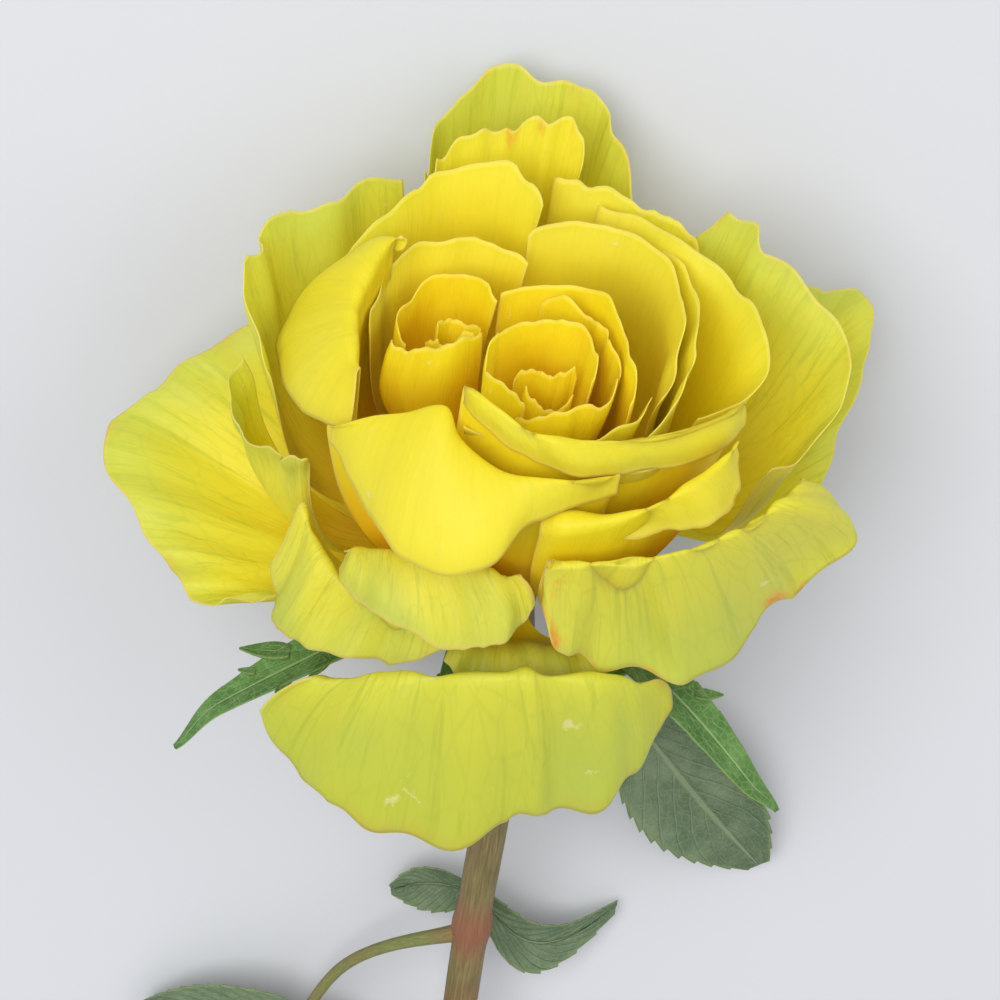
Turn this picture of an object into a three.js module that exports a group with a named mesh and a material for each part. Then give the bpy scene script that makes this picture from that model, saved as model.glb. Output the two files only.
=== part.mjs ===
// A cut rose laid on its side: +Z up, the flower faces -Y, the stem runs to +Y. Millimetres.
// Each petal, sepal, leaflet and stalk is one closed solid that grew as one piece.
import * as THREE from "three";

// ---- driving sizes ----
const STEM_LENGTH = 215;
const STEM_RADIUS = 2.6;
const HEAD_TILT = 20; // degrees that the flower's face looks up from level
const SEAT_HEIGHT = 31; // height of the receptacle's centre over the surface
const BLOOM_SCALE = 1; // size of the whole flower head
const AXIS_LEAN = [0.15, -0.05]; // sideways drift of the flower's axis for each mm along it
const HIP_RADIUS = 7.2;
const HIP_HALF_LENGTH = 7;
const PETAL_THICKNESS = 0.42;
const CLAW_THICKNESS = 0.22;
const CLAW_HALF_WIDTH = 1;
const PETAL_SEAT = 0.5; // gap between the hip and the lowest edge of the claws
const LEAF_THICKNESS = 0.6;
const LEAF_LENGTH = 34;
const LEAF_HALF_WIDTH = 9;
const SEPAL_LENGTH = 46;
const SEPAL_HALF_WIDTH = 4.2;
const STALK_RADIUS = 0.9;
const GAP = 0.35; // air left between pieces that meet

const RADIANS = Math.PI / 180;

const COLOURS = {
  heart: { color: 0xe3a80c, roughness: 0.6 },
  petal: { color: 0xe6d52e, roughness: 0.6 },
  outer: { color: 0xc9c83a, roughness: 0.6 },
  sepal: { color: 0x4c7a34, roughness: 0.6 },
  leaf: { color: 0x5d7d58, roughness: 0.55 },
  stem: { color: 0x7a6a45, roughness: 0.6 },
};

const rose = new THREE.Group();
const head = new THREE.Group();
rose.add(head);

function addMesh(group, name, geometry, finish) {
  const material = new THREE.MeshStandardMaterial({ ...COLOURS[finish], metalness: 0 });
  const mesh = new THREE.Mesh(geometry, material);
  mesh.name = name;
  group.add(mesh);
  return mesh;
}

// A closed plate over a grid: place(s, t) gives its middle point and its thickness there.
function plate(place, alongCells, acrossCells) {
  const positions = [];
  const triangles = [];
  const row = acrossCells + 1;
  const layer = row * (alongCells + 1);
  const grid = [];
  for (let i = 0; i <= alongCells; i++) {
    for (let j = 0; j <= acrossCells; j++) {
      grid.push(place(i / alongCells, (2 * j) / acrossCells - 1));
    }
  }
  const middle = (i, j) => {
    const k = Math.min(Math.max(i, 0), alongCells) * row + Math.min(Math.max(j, 0), acrossCells);
    return grid[k].point;
  };
  for (const side of [0.5, -0.5]) {
    for (let i = 0; i <= alongCells; i++) {
      for (let j = 0; j <= acrossCells; j++) {
        const ahead = middle(i + 1, j).clone().sub(middle(i - 1, j));
        const across = middle(i, j + 1).clone().sub(middle(i, j - 1));
        const normal = ahead.cross(across).normalize();
        const point = middle(i, j).clone().addScaledVector(normal, side * grid[i * row + j].thickness);
        positions.push(point.x, point.y, point.z);
      }
    }
  }
  const quad = (a, b, c, d) => triangles.push(a, b, c, a, c, d);
  for (let i = 0; i < alongCells; i++) {
    for (let j = 0; j < acrossCells; j++) {
      const a = i * row + j;
      quad(a, a + 1, a + row + 1, a + row);
      quad(layer + a, layer + a + row, layer + a + row + 1, layer + a + 1);
    }
  }
  for (let j = 0; j < acrossCells; j++) {
    const last = alongCells * row + j;
    quad(j + 1, j, layer + j, layer + j + 1);
    quad(last, last + 1, layer + last + 1, layer + last);
  }
  for (let i = 0; i < alongCells; i++) {
    const left = i * row;
    const right = left + acrossCells;
    quad(left, left + row, layer + left + row, layer + left);
    quad(right + row, right, layer + right, layer + right + row);
  }
  const geometry = new THREE.BufferGeometry();
  geometry.setAttribute("position", new THREE.Float32BufferAttribute(positions, 3));
  geometry.setIndex(triangles);
  return facingOut(geometry);
}

// Turns every triangle round if the closed surface has a negative volume.
function facingOut(geometry) {
  const at = geometry.attributes.position;
  const index = geometry.index.array;
  const corner = [0, 1, 2].map(() => new THREE.Vector3());
  let volume = 0;
  for (let i = 0; i < index.length; i += 3) {
    corner.forEach((v, k) => v.fromBufferAttribute(at, index[i + k]));
    volume += corner[0].dot(corner[1].clone().cross(corner[2]));
  }
  if (volume < 0) {
    for (let i = 0; i < index.length; i += 3) {
      [index[i + 1], index[i + 2]] = [index[i + 2], index[i + 1]];
    }
  }
  return geometry;
}

function smooth(x) {
  const c = Math.min(Math.max(x, 0), 1);
  return c * c * (3 - 2 * c);
}

// ---- stem and receptacle ----
// The hip is a turned body, the same above and below its middle: its box is centred on the flower's seat.
function hip() {
  const outline = [];
  const steps = 10;
  for (let i = 0; i <= steps; i++) {
    const a = Math.PI * (i / steps - 0.5);
    outline.push(new THREE.Vector2(HIP_RADIUS * Math.cos(a), HIP_HALF_LENGTH * Math.sin(a)));
  }
  outline[0].x = 0;
  outline[steps].x = 0;
  return new THREE.LatheGeometry(outline, 20).rotateX(Math.PI / 2);
}

addMesh(head, "receptacle", hip(), "sepal");

// ---- petals ----
// A petal fans out from a narrow claw on the hip to its rim. The rim is a smooth line through a few
// [degrees round the axis, radius, height] points, and the curve from claw to rim is pulled by two handles:
// the belly, a fixed [radius, height], and the shoulder, measured from the rim. A petal with a crest rises
// to that line first and turns over it, down or out to the rim.
const CREST_SHARE = 0.62; // share of a turned-over petal's length that lies before its crest

function along(points, u) {
  const last = points.length - 1;
  const i = Math.min(Math.floor(u * last), last - 1);
  const f = u * last - i;
  const at = (k) => points[Math.min(Math.max(k, 0), last)];
  return [0, 1, 2].map((k) => {
    const [p, a, b, n] = [at(i - 1)[k], at(i)[k], at(i + 1)[k], at(i + 2)[k]];
    const bend = (3 * (a - b) + n - p) * f + 2 * p - 5 * a + 4 * b - n;
    return a + 0.5 * f * (b - p + f * bend);
  });
}

function bezier(p, s) {
  const r = 1 - s;
  const w = [r * r * r, 3 * r * r * s, 3 * r * s * s, s * s * s];
  return [0, 1].map((k) => w[0] * p[0][k] + w[1] * p[1][k] + w[2] * p[2][k] + w[3] * p[3][k]);
}

function offset([x, y], [dx, dy], share = 1) {
  return [x + dx * share, y + dy * share];
}

// Radius, height and degrees of a petal at the share s of its length, for the share t across.
function petalCurve({ rim, crest, claw, belly, shoulder, turned = [-1, 6] }, s, t) {
  const [rimTurn, ...edge] = along(rim, (t + 1) / 2);
  if (!crest) {
    return { turn: rimTurn, at: bezier([claw, belly, offset(edge, shoulder), edge], s) };
  }
  const [crestTurn, ...top] = along(crest, (t + 1) / 2);
  if (s <= CREST_SHARE) {
    const before = [claw, belly, offset(top, shoulder), top];
    return { turn: crestTurn, at: bezier(before, s / CREST_SHARE) };
  }
  const beyond = (s - CREST_SHARE) / (1 - CREST_SHARE);
  const after = [top, offset(top, shoulder, -0.3), offset(edge, turned), edge];
  return {
    turn: crestTurn + (rimTurn - crestTurn) * smooth(beyond),
    at: bezier(after, beyond),
  };
}

function petal(options) {
  const { rim, crest, claw, tuck, round = 0.03, centre = [0, 0] } = options;
  const middle = along(rim, 0.5)[0];
  const fan = crest ? 1.7 : 1.15;
  return (s, t) => {
    const reach = s * (1 - round * Math.pow(Math.abs(t), 3));
    const { turn: rimTurn, at } = petalCurve(options, reach, t);
    const [radius, height] = at;
    const clawTurn = (t * CLAW_HALF_WIDTH) / claw[0] / RADIANS;
    const open = Math.sin((Math.PI / 2) * smooth(s * fan));
    const turn = (middle + clawTurn + (rimTurn - middle - clawTurn) * open) * RADIANS;
    const out = radius + tuck * t * smooth(s * 1.6);
    const pull = 0.18 + 0.82 * smooth((height - 3) / 27);
    const point = new THREE.Vector3(
      out * Math.cos(turn) + AXIS_LEAN[0] * height + centre[0] * pull,
      out * Math.sin(turn) + AXIS_LEAN[1] * height + centre[1] * pull,
      height,
    );
    const thickness = CLAW_THICKNESS + (PETAL_THICKNESS - CLAW_THICKNESS) * smooth(s * 3);
    return { point, thickness };
  };
}

const SEAT_TOP = HIP_HALF_LENGTH + PETAL_SEAT;

// The two small swirls in the heart: upright petals rolled round their own centres.
const LEFT_SWIRL = [-13.6, 5];
const RIGHT_SWIRL = [-1.1, -4.7];
const HEART = [
  {
    name: "left_swirl_1",
    centre: LEFT_SWIRL,
    rim: [[190, 2.6, 35], [235, 2.4, 34.6], [290, 2.5, 35], [330, 3.4, 35.2]],
  },
  {
    name: "left_swirl_2",
    centre: LEFT_SWIRL,
    rim: [[-40, 4.6, 35.5], [20, 3.6, 35], [90, 2.4, 35.5], [160, 1.6, 36]],
  },
  {
    name: "left_swirl_3",
    centre: LEFT_SWIRL,
    rim: [[196, 4.8, 35.5], [150, 6.4, 37], [110, 8.5, 38], [75, 9, 38], [35, 7, 37.5]],
    belly: [3.2, 17],
  },
  {
    name: "left_swirl_4",
    centre: LEFT_SWIRL,
    rim: [[199, 8.2, 35], [210, 8, 36], [224, 6.5, 36], [245, 5.5, 36], [284, 5, 37],
      [325, 5, 38]],
    shoulder: [2.5, -11],
    belly: [4.5, 15],
  },
  {
    name: "right_swirl_1",
    centre: RIGHT_SWIRL,
    rim: [[150, 4.2, 33.5], [110, 3, 33.8], [60, 3.4, 34], [35, 4.8, 34]],
  },
  {
    name: "right_swirl_2",
    centre: RIGHT_SWIRL,
    rim: [[200, 3.4, 34.5], [240, 2.8, 34], [300, 2.8, 34], [345, 3.8, 34.5]],
  },
  {
    name: "right_swirl_3",
    centre: RIGHT_SWIRL,
    rim: [[132, 10.5, 36], [112, 9.8, 37.5], [90, 9, 38], [66, 7.8, 38], [37, 6.2, 37],
      [-8, 5.2, 36]],
  },
  {
    name: "right_swirl_4",
    centre: RIGHT_SWIRL,
    rim: [[143, 8.6, 38], [168, 7.6, 38], [198, 6.3, 37], [238, 5.2, 35]],
  },
  {
    name: "right_swirl_5",
    centre: RIGHT_SWIRL,
    rim: [[235, 6.6, 34.5], [262, 7, 35], [300, 7.2, 35], [333, 7.6, 36], [367, 7.8, 36]],
  },
  {
    name: "right_swirl_6",
    centre: RIGHT_SWIRL,
    rim: [[95, 12.5, 37.5], [70, 11.2, 38], [50, 10, 38], [30, 9, 37.5], [5, 8.4, 36.5]],
    belly: [5.2, 15],
  },
  {
    name: "right_swirl_7",
    centre: RIGHT_SWIRL,
    rim: [[112, 16.5, 38], [92, 14.5, 38.5], [65, 12.6, 38.5], [35, 11, 38], [5, 10.5, 37],
      [-22, 10.7, 35.5]],
    belly: [8.6, 13],
  },
];
HEART.forEach((one, i) => {
  const foot = 0.7 + 0.21 * (one.centre === LEFT_SWIRL ? i : i - 4);
  const wide = one.rim.reduce((sum, p) => sum + p[1], 0) / one.rim.length;
  const usual = { shoulder: [wide * 0.05, -13], belly: [foot + wide * 0.4, 14], tuck: 0.1 };
  const shape = petal({ ...usual, ...one, claw: [foot, SEAT_TOP] });
  addMesh(head, `petal_${one.name}`, plate(shape, 7, 8), "heart");
});

// The bowl round the heart and the petals that turn over in front of it and beside it.
const BOWL = [
  {
    name: "bowl_left",
    rim: [[169, 24, 37.5], [160, 24, 38.5], [148, 23.5, 40], [133, 22.5, 41], [118, 20, 41],
      [104, 16, 39]],
  },
  {
    name: "bowl_right",
    rim: [[101, 19, 41], [80, 19.5, 41], [59, 19.5, 40.5], [38, 17.5, 40], [15, 15.5, 39],
      [-10, 13.5, 37], [-29, 13.5, 36]],
  },
  {
    name: "bowl_front",
    rim: [[-30, 14, 35.5], [-60, 14.5, 35], [-92, 14.5, 35], [-120, 14.5, 36], [-138, 15.5, 38]],
    shoulder: [-1, -14],
  },
  {
    name: "bowl_side",
    rim: [[60, 22, 40], [29, 18.5, 39], [5, 17, 38], [-15, 17, 37], [-35, 17, 35.5],
      [-60, 16.5, 34.5]],
    shoulder: [-1, -16],
  },
  {
    name: "ring_low",
    rim: [[-35, 19, 32], [-52, 18.3, 32], [-72, 17, 32.5], [-95, 16, 33], [-112, 15.8, 34.5],
      [-130, 16.5, 37]],
    shoulder: [0.3, -13],
  },
  {
    name: "ring_right",
    rim: [[79, 26, 41], [62, 25, 41], [43, 24, 40], [27, 25, 38], [12, 25, 37], [0, 25.5, 35.5],
      [-12, 23.5, 33.5], [-24, 20, 33]],
    shoulder: [-3, -12],
  },
  {
    name: "ring_front",
    rim: [[-17, 27, 29.5], [-34, 25, 30], [-59, 21, 31.5], [-80, 19.5, 32], [-98, 19, 33.5],
      [-115, 18.5, 36], [-131, 18.8, 39]],
    crest: [[-18, 24.5, 32.5], [-46, 20.3, 34], [-76, 18, 34.5], [-101, 17.5, 35.5],
      [-120, 17, 38], [-132, 18.5, 40]],
    shoulder: [-0.5, -13],
    turned: [-1, 2],
  },
  {
    name: "back_cup",
    rim: [[156, 30.5, 37], [147, 30.5, 40.5], [136, 30.5, 43.5], [125, 31, 45], [114, 29.5, 46],
      [104, 26.5, 46], [98, 22, 44.5]],
    shoulder: [-2, -17],
  },
  {
    name: "back_right",
    rim: [[92, 29, 43], [80, 28, 42], [66, 27, 40.5], [53, 27, 38.5], [44, 27.5, 37]],
    shoulder: [-2, -17],
  },
  {
    name: "left_drape",
    rim: [[146, 25, 42], [148, 29, 41], [154, 32, 38.5], [158, 36.5, 34], [165, 37, 31],
      [174, 35, 30], [188, 31.5, 28.5], [200, 27, 29.5]],
    crest: [[150, 25, 42], [160, 25.5, 41], [170, 26, 39.5], [180, 25.5, 37.5], [190, 25, 35.5]],
    shoulder: [-1, -14],
    turned: [-2, 3],
  },
  {
    name: "front_fold",
    rim: [[202, 31.3, 29.3], [209, 30.5, 28], [217, 30, 26], [227, 30.5, 25], [238, 31.3, 24.5],
      [250, 31, 24.5], [258, 28.5, 25.5], [265, 24, 27.5], [280, 22.5, 28], [292, 22, 28.5]],
    crest: [[199, 29.5, 30], [206, 25, 34], [214, 22, 36], [224, 19.5, 38], [234, 20, 35],
      [252, 20.5, 32], [272, 20.5, 30.5], [292, 20.5, 29.5]],
    shoulder: [-2.5, -12],
    turned: [-2, 5],
  },
  {
    name: "front_cup",
    rim: [[268, 21.5, 25], [288, 24.5, 25], [304, 27, 25], [315, 28.7, 25], [325, 29, 26],
      [332, 27.5, 29]],
    crest: [[268, 23, 25], [290, 24.5, 27], [312, 25, 29], [330, 26, 30.5]],
    shoulder: [-2, -10],
    turned: [-3, 2],
  },
];
BOWL.forEach((one, i) => {
  const foot = HIP_RADIUS * 0.66 + 0.17 * i;
  const floor = SEAT_TOP - 0.2 * i;
  const wide = one.rim.reduce((sum, p) => sum + p[1], 0) / one.rim.length;
  const usual = { shoulder: [1, -16], belly: [foot + wide * 0.6, floor + 1 - 0.3 * i], tuck: 0.2 };
  const shape = petal({ ...usual, ...one, claw: [foot, floor] });
  addMesh(head, `petal_${one.name}`, plate(shape, one.crest ? 11 : 7, 8), "petal");
});

// The big outer petals, each with its own spread, from the uppermost down.
const OUTER = [
  {
    name: "back_middle",
    rim: [[122, 32.5, 41.5], [115, 34.5, 44.5], [108, 36, 46.5], [100, 36, 47.5], [92, 34.5, 47],
      [85, 31.5, 44.5]],
    belly: [27, -2],
    shoulder: [-1, -18],
  },
  {
    name: "back_left",
    rim: [[124, 37, 41.5], [141, 38, 43], [153, 43.5, 42], [161, 40.5, 39.5], [169, 38.5, 37],
      [178, 35.5, 33]],
    belly: [28, -2],
    shoulder: [-3, -16],
  },
  {
    name: "right_point",
    rim: [[52, 30.5, 37], [46, 31, 37.5], [40, 33, 40.5], [31, 33, 38.5], [20, 36, 34.5],
      [12, 39, 30.5], [3, 37, 25.5], [-5, 34, 21], [-10, 30.5, 20.5]],
    belly: [27, -2],
    shoulder: [-4, -14],
  },
  {
    name: "left_roll",
    rim: [[169, 39.5, 30], [177, 38.5, 26.5], [182, 36, 24], [187, 33.5, 23.5], [191, 31.5, 25],
      [193, 29.5, 27]],
    belly: [27, -4],
    shoulder: [1, -13],
  },
  {
    name: "front_lip",
    rim: [[215, 31.5, 14], [225, 32, 13], [236, 31.3, 12], [250, 30, 11], [260, 29, 11],
      [267, 27, 12], [271, 26, 14]],
    crest: [[213, 28, 15.5], [222, 26, 17], [238, 24, 18], [254, 23.5, 18.5], [265, 23.3, 18.5]],
    belly: [20, -4],
    shoulder: [-4, -4],
    turned: [-3, 3],
  },
  {
    name: "front_under",
    rim: [[248, 26, 1], [256, 25, 1], [267, 25, 1.3], [280, 25.3, 1.5], [294, 26.5, 2]],
    belly: [19, -8],
    shoulder: [-9, 4],
  },
  {
    name: "front_left",
    rim: [[199, 36, 8], [207, 36.5, 5], [214, 36, 3], [223, 32.5, 3], [236, 29, 3],
      [247, 26.5, 4]],
    crest: [[197, 31, 17], [207, 30.5, 14], [219, 29, 10.5], [232, 26.5, 9], [245, 24.5, 8.5]],
    belly: [22, -3],
    shoulder: [-3, -10],
    turned: [-4, 4],
  },
  {
    name: "front_right",
    rim: [[272, 27.5, 14], [279, 28.5, 9.5], [291, 29.5, 5], [305, 31, 3], [314, 34.5, 0],
      [329, 36.5, 0.5], [341, 39, 3], [349, 42, 5.5], [355, 43.6, 8], [356, 40.5, 10.5],
      [353, 38, 11]],
    crest: [[271, 25.6, 22], [284, 27.2, 23.2], [300, 29.2, 23.6], [318, 31.4, 23.7],
      [334, 32.7, 22.7], [346, 33.7, 20.5]],
    belly: [22, 0],
    shoulder: [-3, -9],
    turned: [-4, 6],
  },
  {
    name: "left_spread",
    rim: [[149, 44, 25], [157, 49.5, 20.5], [163, 54, 17], [168, 57, 13], [177, 54, 9],
      [186, 48.5, 5], [191, 44.5, 2], [196, 40, 2], [198, 34, 2]],
    belly: [24, -9],
    shoulder: [-13, -2],
  },
  {
    name: "back_tall",
    rim: [[120, 37, 40], [115, 39, 43], [109, 43.5, 45.5], [101, 46, 48], [93, 45, 48],
      [85, 43.5, 47], [80, 38, 44], [70, 30, 39]],
    belly: [28, -6],
    shoulder: [-2, -22],
  },
  {
    name: "far_right",
    rim: [[46, 44, 24], [37, 45.8, 25], [34, 50, 24], [31, 54, 22], [26, 50, 19], [18, 45.6, 15],
      [12, 42, 10], [7, 41, 5]],
    belly: [27, -10],
    shoulder: [-10, -8],
  },
  {
    name: "far_left",
    rim: [[112, 40, 12], [124, 46, 14], [138, 48, 13], [150, 45, 10]],
    belly: [24, -12],
    shoulder: [-10, -7],
  },
  {
    name: "front_drop",
    rim: [[215, 40, -11], [222, 37, -17], [234, 35, -19], [248, 33.5, -21], [267, 33, -23],
      [282, 32, -21], [296, 32, -18], [305, 31.5, -14], [313, 31, -8]],
    crest: [[222, 32, -3], [233, 31, 1], [248, 29.5, 4], [270, 28.5, 5.5], [292, 28.5, 3],
      [303, 28.5, -1]],
    belly: [24, -16],
    shoulder: [-6, -9],
    turned: [0, 9],
  },
];
OUTER.forEach((one, i) => {
  const claw = [HIP_RADIUS - 0.5 + 0.07 * i, HIP_HALF_LENGTH - 1.8 - 0.3 * i];
  const shape = petal({ tuck: 0.3, ...one, claw });
  addMesh(head, `petal_${one.name}`, plate(shape, one.crest ? 11 : 9, 8), "outer");
});

// ---- sepals ----
// Five leafy sepals below the petals, hanging back towards the stem.
const SEPALS = [
  { az: 205, droop: 0.34 },
  { az: 318, droop: 0.55 },
  { az: 243, droop: 1.5 },
  { az: 20, droop: 1.1 },
  { az: 118, droop: 1.42 },
];
function sepal({ az, droop }) {
  const side = new THREE.Vector3(-Math.sin(az * RADIANS), Math.cos(az * RADIANS), 0);
  const out = new THREE.Vector3(Math.cos(az * RADIANS), Math.sin(az * RADIANS), 0);
  const up = new THREE.Vector3(0, 0, 1);
  return (s, t) => {
    const bend = droop * (0.4 + 0.9 * s);
    const along = SEPAL_LENGTH * s;
    const width = SEPAL_HALF_WIDTH * (0.35 + 1.9 * s) * (1 - s * s) + 0.5;
    const radius = HIP_RADIUS + GAP + 0.5 + along * Math.cos(bend * 0.8);
    const height = -3.2 - along * Math.sin(bend * 0.8) * 0.8;
    const point = out
      .clone()
      .multiplyScalar(radius)
      .addScaledVector(side, t * width)
      .addScaledVector(up, height + 0.12 * width * t * t);
    return { point, thickness: LEAF_THICKNESS };
  };
}
SEPALS.forEach((one, i) => {
  addMesh(head, `sepal_${i + 1}`, plate(sepal(one), 9, 4), "sepal");
});

// The head turns from standing to lying: its face looks to -Y and up by HEAD_TILT.
const tilt = HEAD_TILT * RADIANS;
const headRight = new THREE.Vector3(-1, 0, 0);
const headBack = new THREE.Vector3(0, -Math.sin(tilt), -Math.cos(tilt));
const headAxis = new THREE.Vector3(0, -Math.cos(tilt), Math.sin(tilt));
head.quaternion.setFromRotationMatrix(new THREE.Matrix4().makeBasis(headRight, headBack, headAxis));
head.position.set(0, 0, SEAT_HEIGHT * BLOOM_SCALE);
head.scale.setScalar(BLOOM_SCALE);

// ---- stem ----
// A round cane that leaves the hip along the flower's axis and comes down to lie on the surface.
function tube(points, radius, steps, sides = 8) {
  const path = new THREE.CatmullRomCurve3(points, false, "centripetal");
  const ring = new THREE.Shape();
  for (let i = 0; i <= sides; i++) {
    const a = (2 * Math.PI * i) / sides;
    const x = radius * Math.cos(a);
    const y = radius * Math.sin(a);
    if (i === 0) ring.moveTo(x, y);
    else ring.lineTo(x, y);
  }
  return new THREE.ExtrudeGeometry(ring, { steps, extrudePath: path, curveSegments: 1 });
}

const stemStart = headAxis
  .clone()
  .multiplyScalar(-(HIP_HALF_LENGTH * BLOOM_SCALE + GAP))
  .add(head.position);
const stemPoint = (along, x, z) => new THREE.Vector3(x, stemStart.y + along, z);
const STEM_PATH = [
  stemStart,
  stemStart.clone().addScaledVector(headAxis, -STEM_LENGTH * 0.1),
  stemPoint(STEM_LENGTH * 0.28, 6, head.position.z * 0.52),
  stemPoint(STEM_LENGTH * 0.52, 12, head.position.z * 0.3),
  stemPoint(STEM_LENGTH * 0.78, 17, head.position.z * 0.14 + STEM_RADIUS * 0.4),
  stemPoint(STEM_LENGTH, 20, STEM_RADIUS),
];
addMesh(rose, "stem", tube(STEM_PATH, STEM_RADIUS, 40, 12), "stem");
const stemCurve = new THREE.CatmullRomCurve3(STEM_PATH, false, "centripetal");

// ---- leaves ----
// A blade from its stalk: base point, direction of its midrib, its size, how far it bows up between its
// ends, how far its tip rises, and how far its middle swings sideways.
function blade({ base, heading, length, halfWidth, bow, rise, cup = 1.5, swing = 0 }) {
  const along = new THREE.Vector3(Math.cos(heading * RADIANS), Math.sin(heading * RADIANS), 0);
  const side = new THREE.Vector3(-along.y, along.x, 0);
  const up = new THREE.Vector3(0, 0, 1);
  return (s, t) => {
    const width = halfWidth * Math.pow(Math.sin(Math.PI * Math.pow(s * 0.94 + 0.03, 0.85)), 0.75) + 0.3;
    const lift = rise * s + bow * Math.sin(Math.PI * s) + cup * t * t * (width / halfWidth);
    const point = base
      .clone()
      .addScaledVector(along, s * length)
      .addScaledVector(side, t * width - swing * Math.sin(Math.PI * s))
      .addScaledVector(up, lift);
    return { point, thickness: LEAF_THICKNESS };
  };
}

function stalk(name, points) {
  addMesh(rose, name, tube(points, STALK_RADIUS, 10, 6), "leaf");
}
function leaflet(name, options) {
  addMesh(rose, name, plate(blade(options), 10, 4), "leaf");
}

// Where a stalk leaves the stem: a point beside it, clear by the gap, on the side given in degrees.
function besideStem(share, sideways) {
  const middle = stemCurve.getPointAt(share);
  const away = STEM_RADIUS + STALK_RADIUS + GAP;
  return middle.add(new THREE.Vector3(away * sideways, 0, 0));
}

// The upper leaf has one big leaflet on a short stalk.
const upperStart = besideStem(0.165, -1);
const upperEnd = new THREE.Vector3(upperStart.x - 15, upperStart.y - 5, upperStart.z * 0.5);
stalk("leaf_upper_stalk", [
  upperStart,
  upperStart.clone().lerp(upperEnd, 0.5).setZ(upperStart.z * 0.82),
  upperEnd,
]);
leaflet("leaf_upper", {
  base: upperEnd.clone().add(new THREE.Vector3(-1.3, 0.8, 0)),
  heading: 125,
  length: LEAF_LENGTH * 1.05,
  halfWidth: LEAF_HALF_WIDTH,
  bow: 2.5,
  rise: -(upperEnd.z - 3),
});

// A pair of small leaflets under the stem, on a stalk that hangs from its underside.
const underStart = stemCurve.getPointAt(0.285);
underStart.z -= STEM_RADIUS + STALK_RADIUS + GAP;
const underEnd = new THREE.Vector3(underStart.x, underStart.y + 2, underStart.z * 0.45);
stalk("leaf_under_stalk", [underStart, underStart.clone().lerp(underEnd, 0.5), underEnd]);
leaflet("leaf_under_right", {
  base: underEnd.clone().add(new THREE.Vector3(-1.6, 0, 0)),
  heading: 168,
  length: LEAF_LENGTH * 0.6,
  halfWidth: LEAF_HALF_WIDTH * 0.45,
  bow: 2,
  rise: -(underEnd.z - 2),
  swing: 7,
});
leaflet("leaf_under_left", {
  base: underEnd.clone().add(new THREE.Vector3(1.6, 0, 0)),
  heading: 8,
  length: LEAF_LENGTH * 0.34,
  halfWidth: LEAF_HALF_WIDTH * 0.4,
  bow: 1.5,
  rise: -(underEnd.z - 2),
  swing: 2,
});

// The lower leaf: a long stalk with a leaflet at its end and two pairs along it.
const lowerStart = besideStem(0.3, 1);
const lowerEnd = lowerStart.clone().add(new THREE.Vector3(LEAF_LENGTH * 0.95, LEAF_LENGTH * 1.23, 0)).setZ(4);
const lowerMiddle = lowerStart.clone().add(new THREE.Vector3(LEAF_LENGTH * 0.5, LEAF_LENGTH * 0.32, 0));
lowerMiddle.setZ(lowerStart.z * 0.6);
const lowerPath = [lowerStart, lowerMiddle, lowerEnd];
stalk("leaf_lower_stalk", lowerPath);
const lowerCurve = new THREE.CatmullRomCurve3(lowerPath, false, "centripetal");
const LOWER_HEADING = 60;
leaflet("leaf_lower_tip", {
  base: lowerEnd.clone().add(new THREE.Vector3(0.8, 1.4, 0)),
  heading: LOWER_HEADING,
  length: LEAF_LENGTH * 0.95,
  halfWidth: LEAF_HALF_WIDTH,
  bow: 2,
  rise: -2,
});
const PAIRS = [
  { name: "inner", share: 0.58, size: 0.68 },
  { name: "outer", share: 0.86, size: 0.78 },
];
for (const pair of PAIRS) {
  for (const [word, turn] of [["left", 1], ["right", -1]]) {
    const spot = lowerCurve.getPointAt(pair.share);
    const heading = LOWER_HEADING + turn * 56;
    const away = STALK_RADIUS + GAP + 1.2;
    const off = new THREE.Vector3(Math.cos(heading * RADIANS), Math.sin(heading * RADIANS), 0);
    leaflet(`leaf_lower_${pair.name}_${word}`, {
      base: spot.addScaledVector(off, away),
      heading,
      length: LEAF_LENGTH * pair.size,
      halfWidth: LEAF_HALF_WIDTH * pair.size,
      bow: 2,
      rise: -(spot.z - 3),
    });
  }
}

// The part's origin is the middle of its footprint, on the surface.
rose.updateMatrixWorld(true);
const bounds = new THREE.Box3().setFromObject(rose, true);
const middle = bounds.getCenter(new THREE.Vector3());
const part = new THREE.Group();
rose.position.set(-middle.x, -middle.y, -bounds.min.z);
part.add(rose);

export default part;
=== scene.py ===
import math

import bmesh
import bpy
import numpy as np
from mathutils import Matrix, Vector


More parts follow.
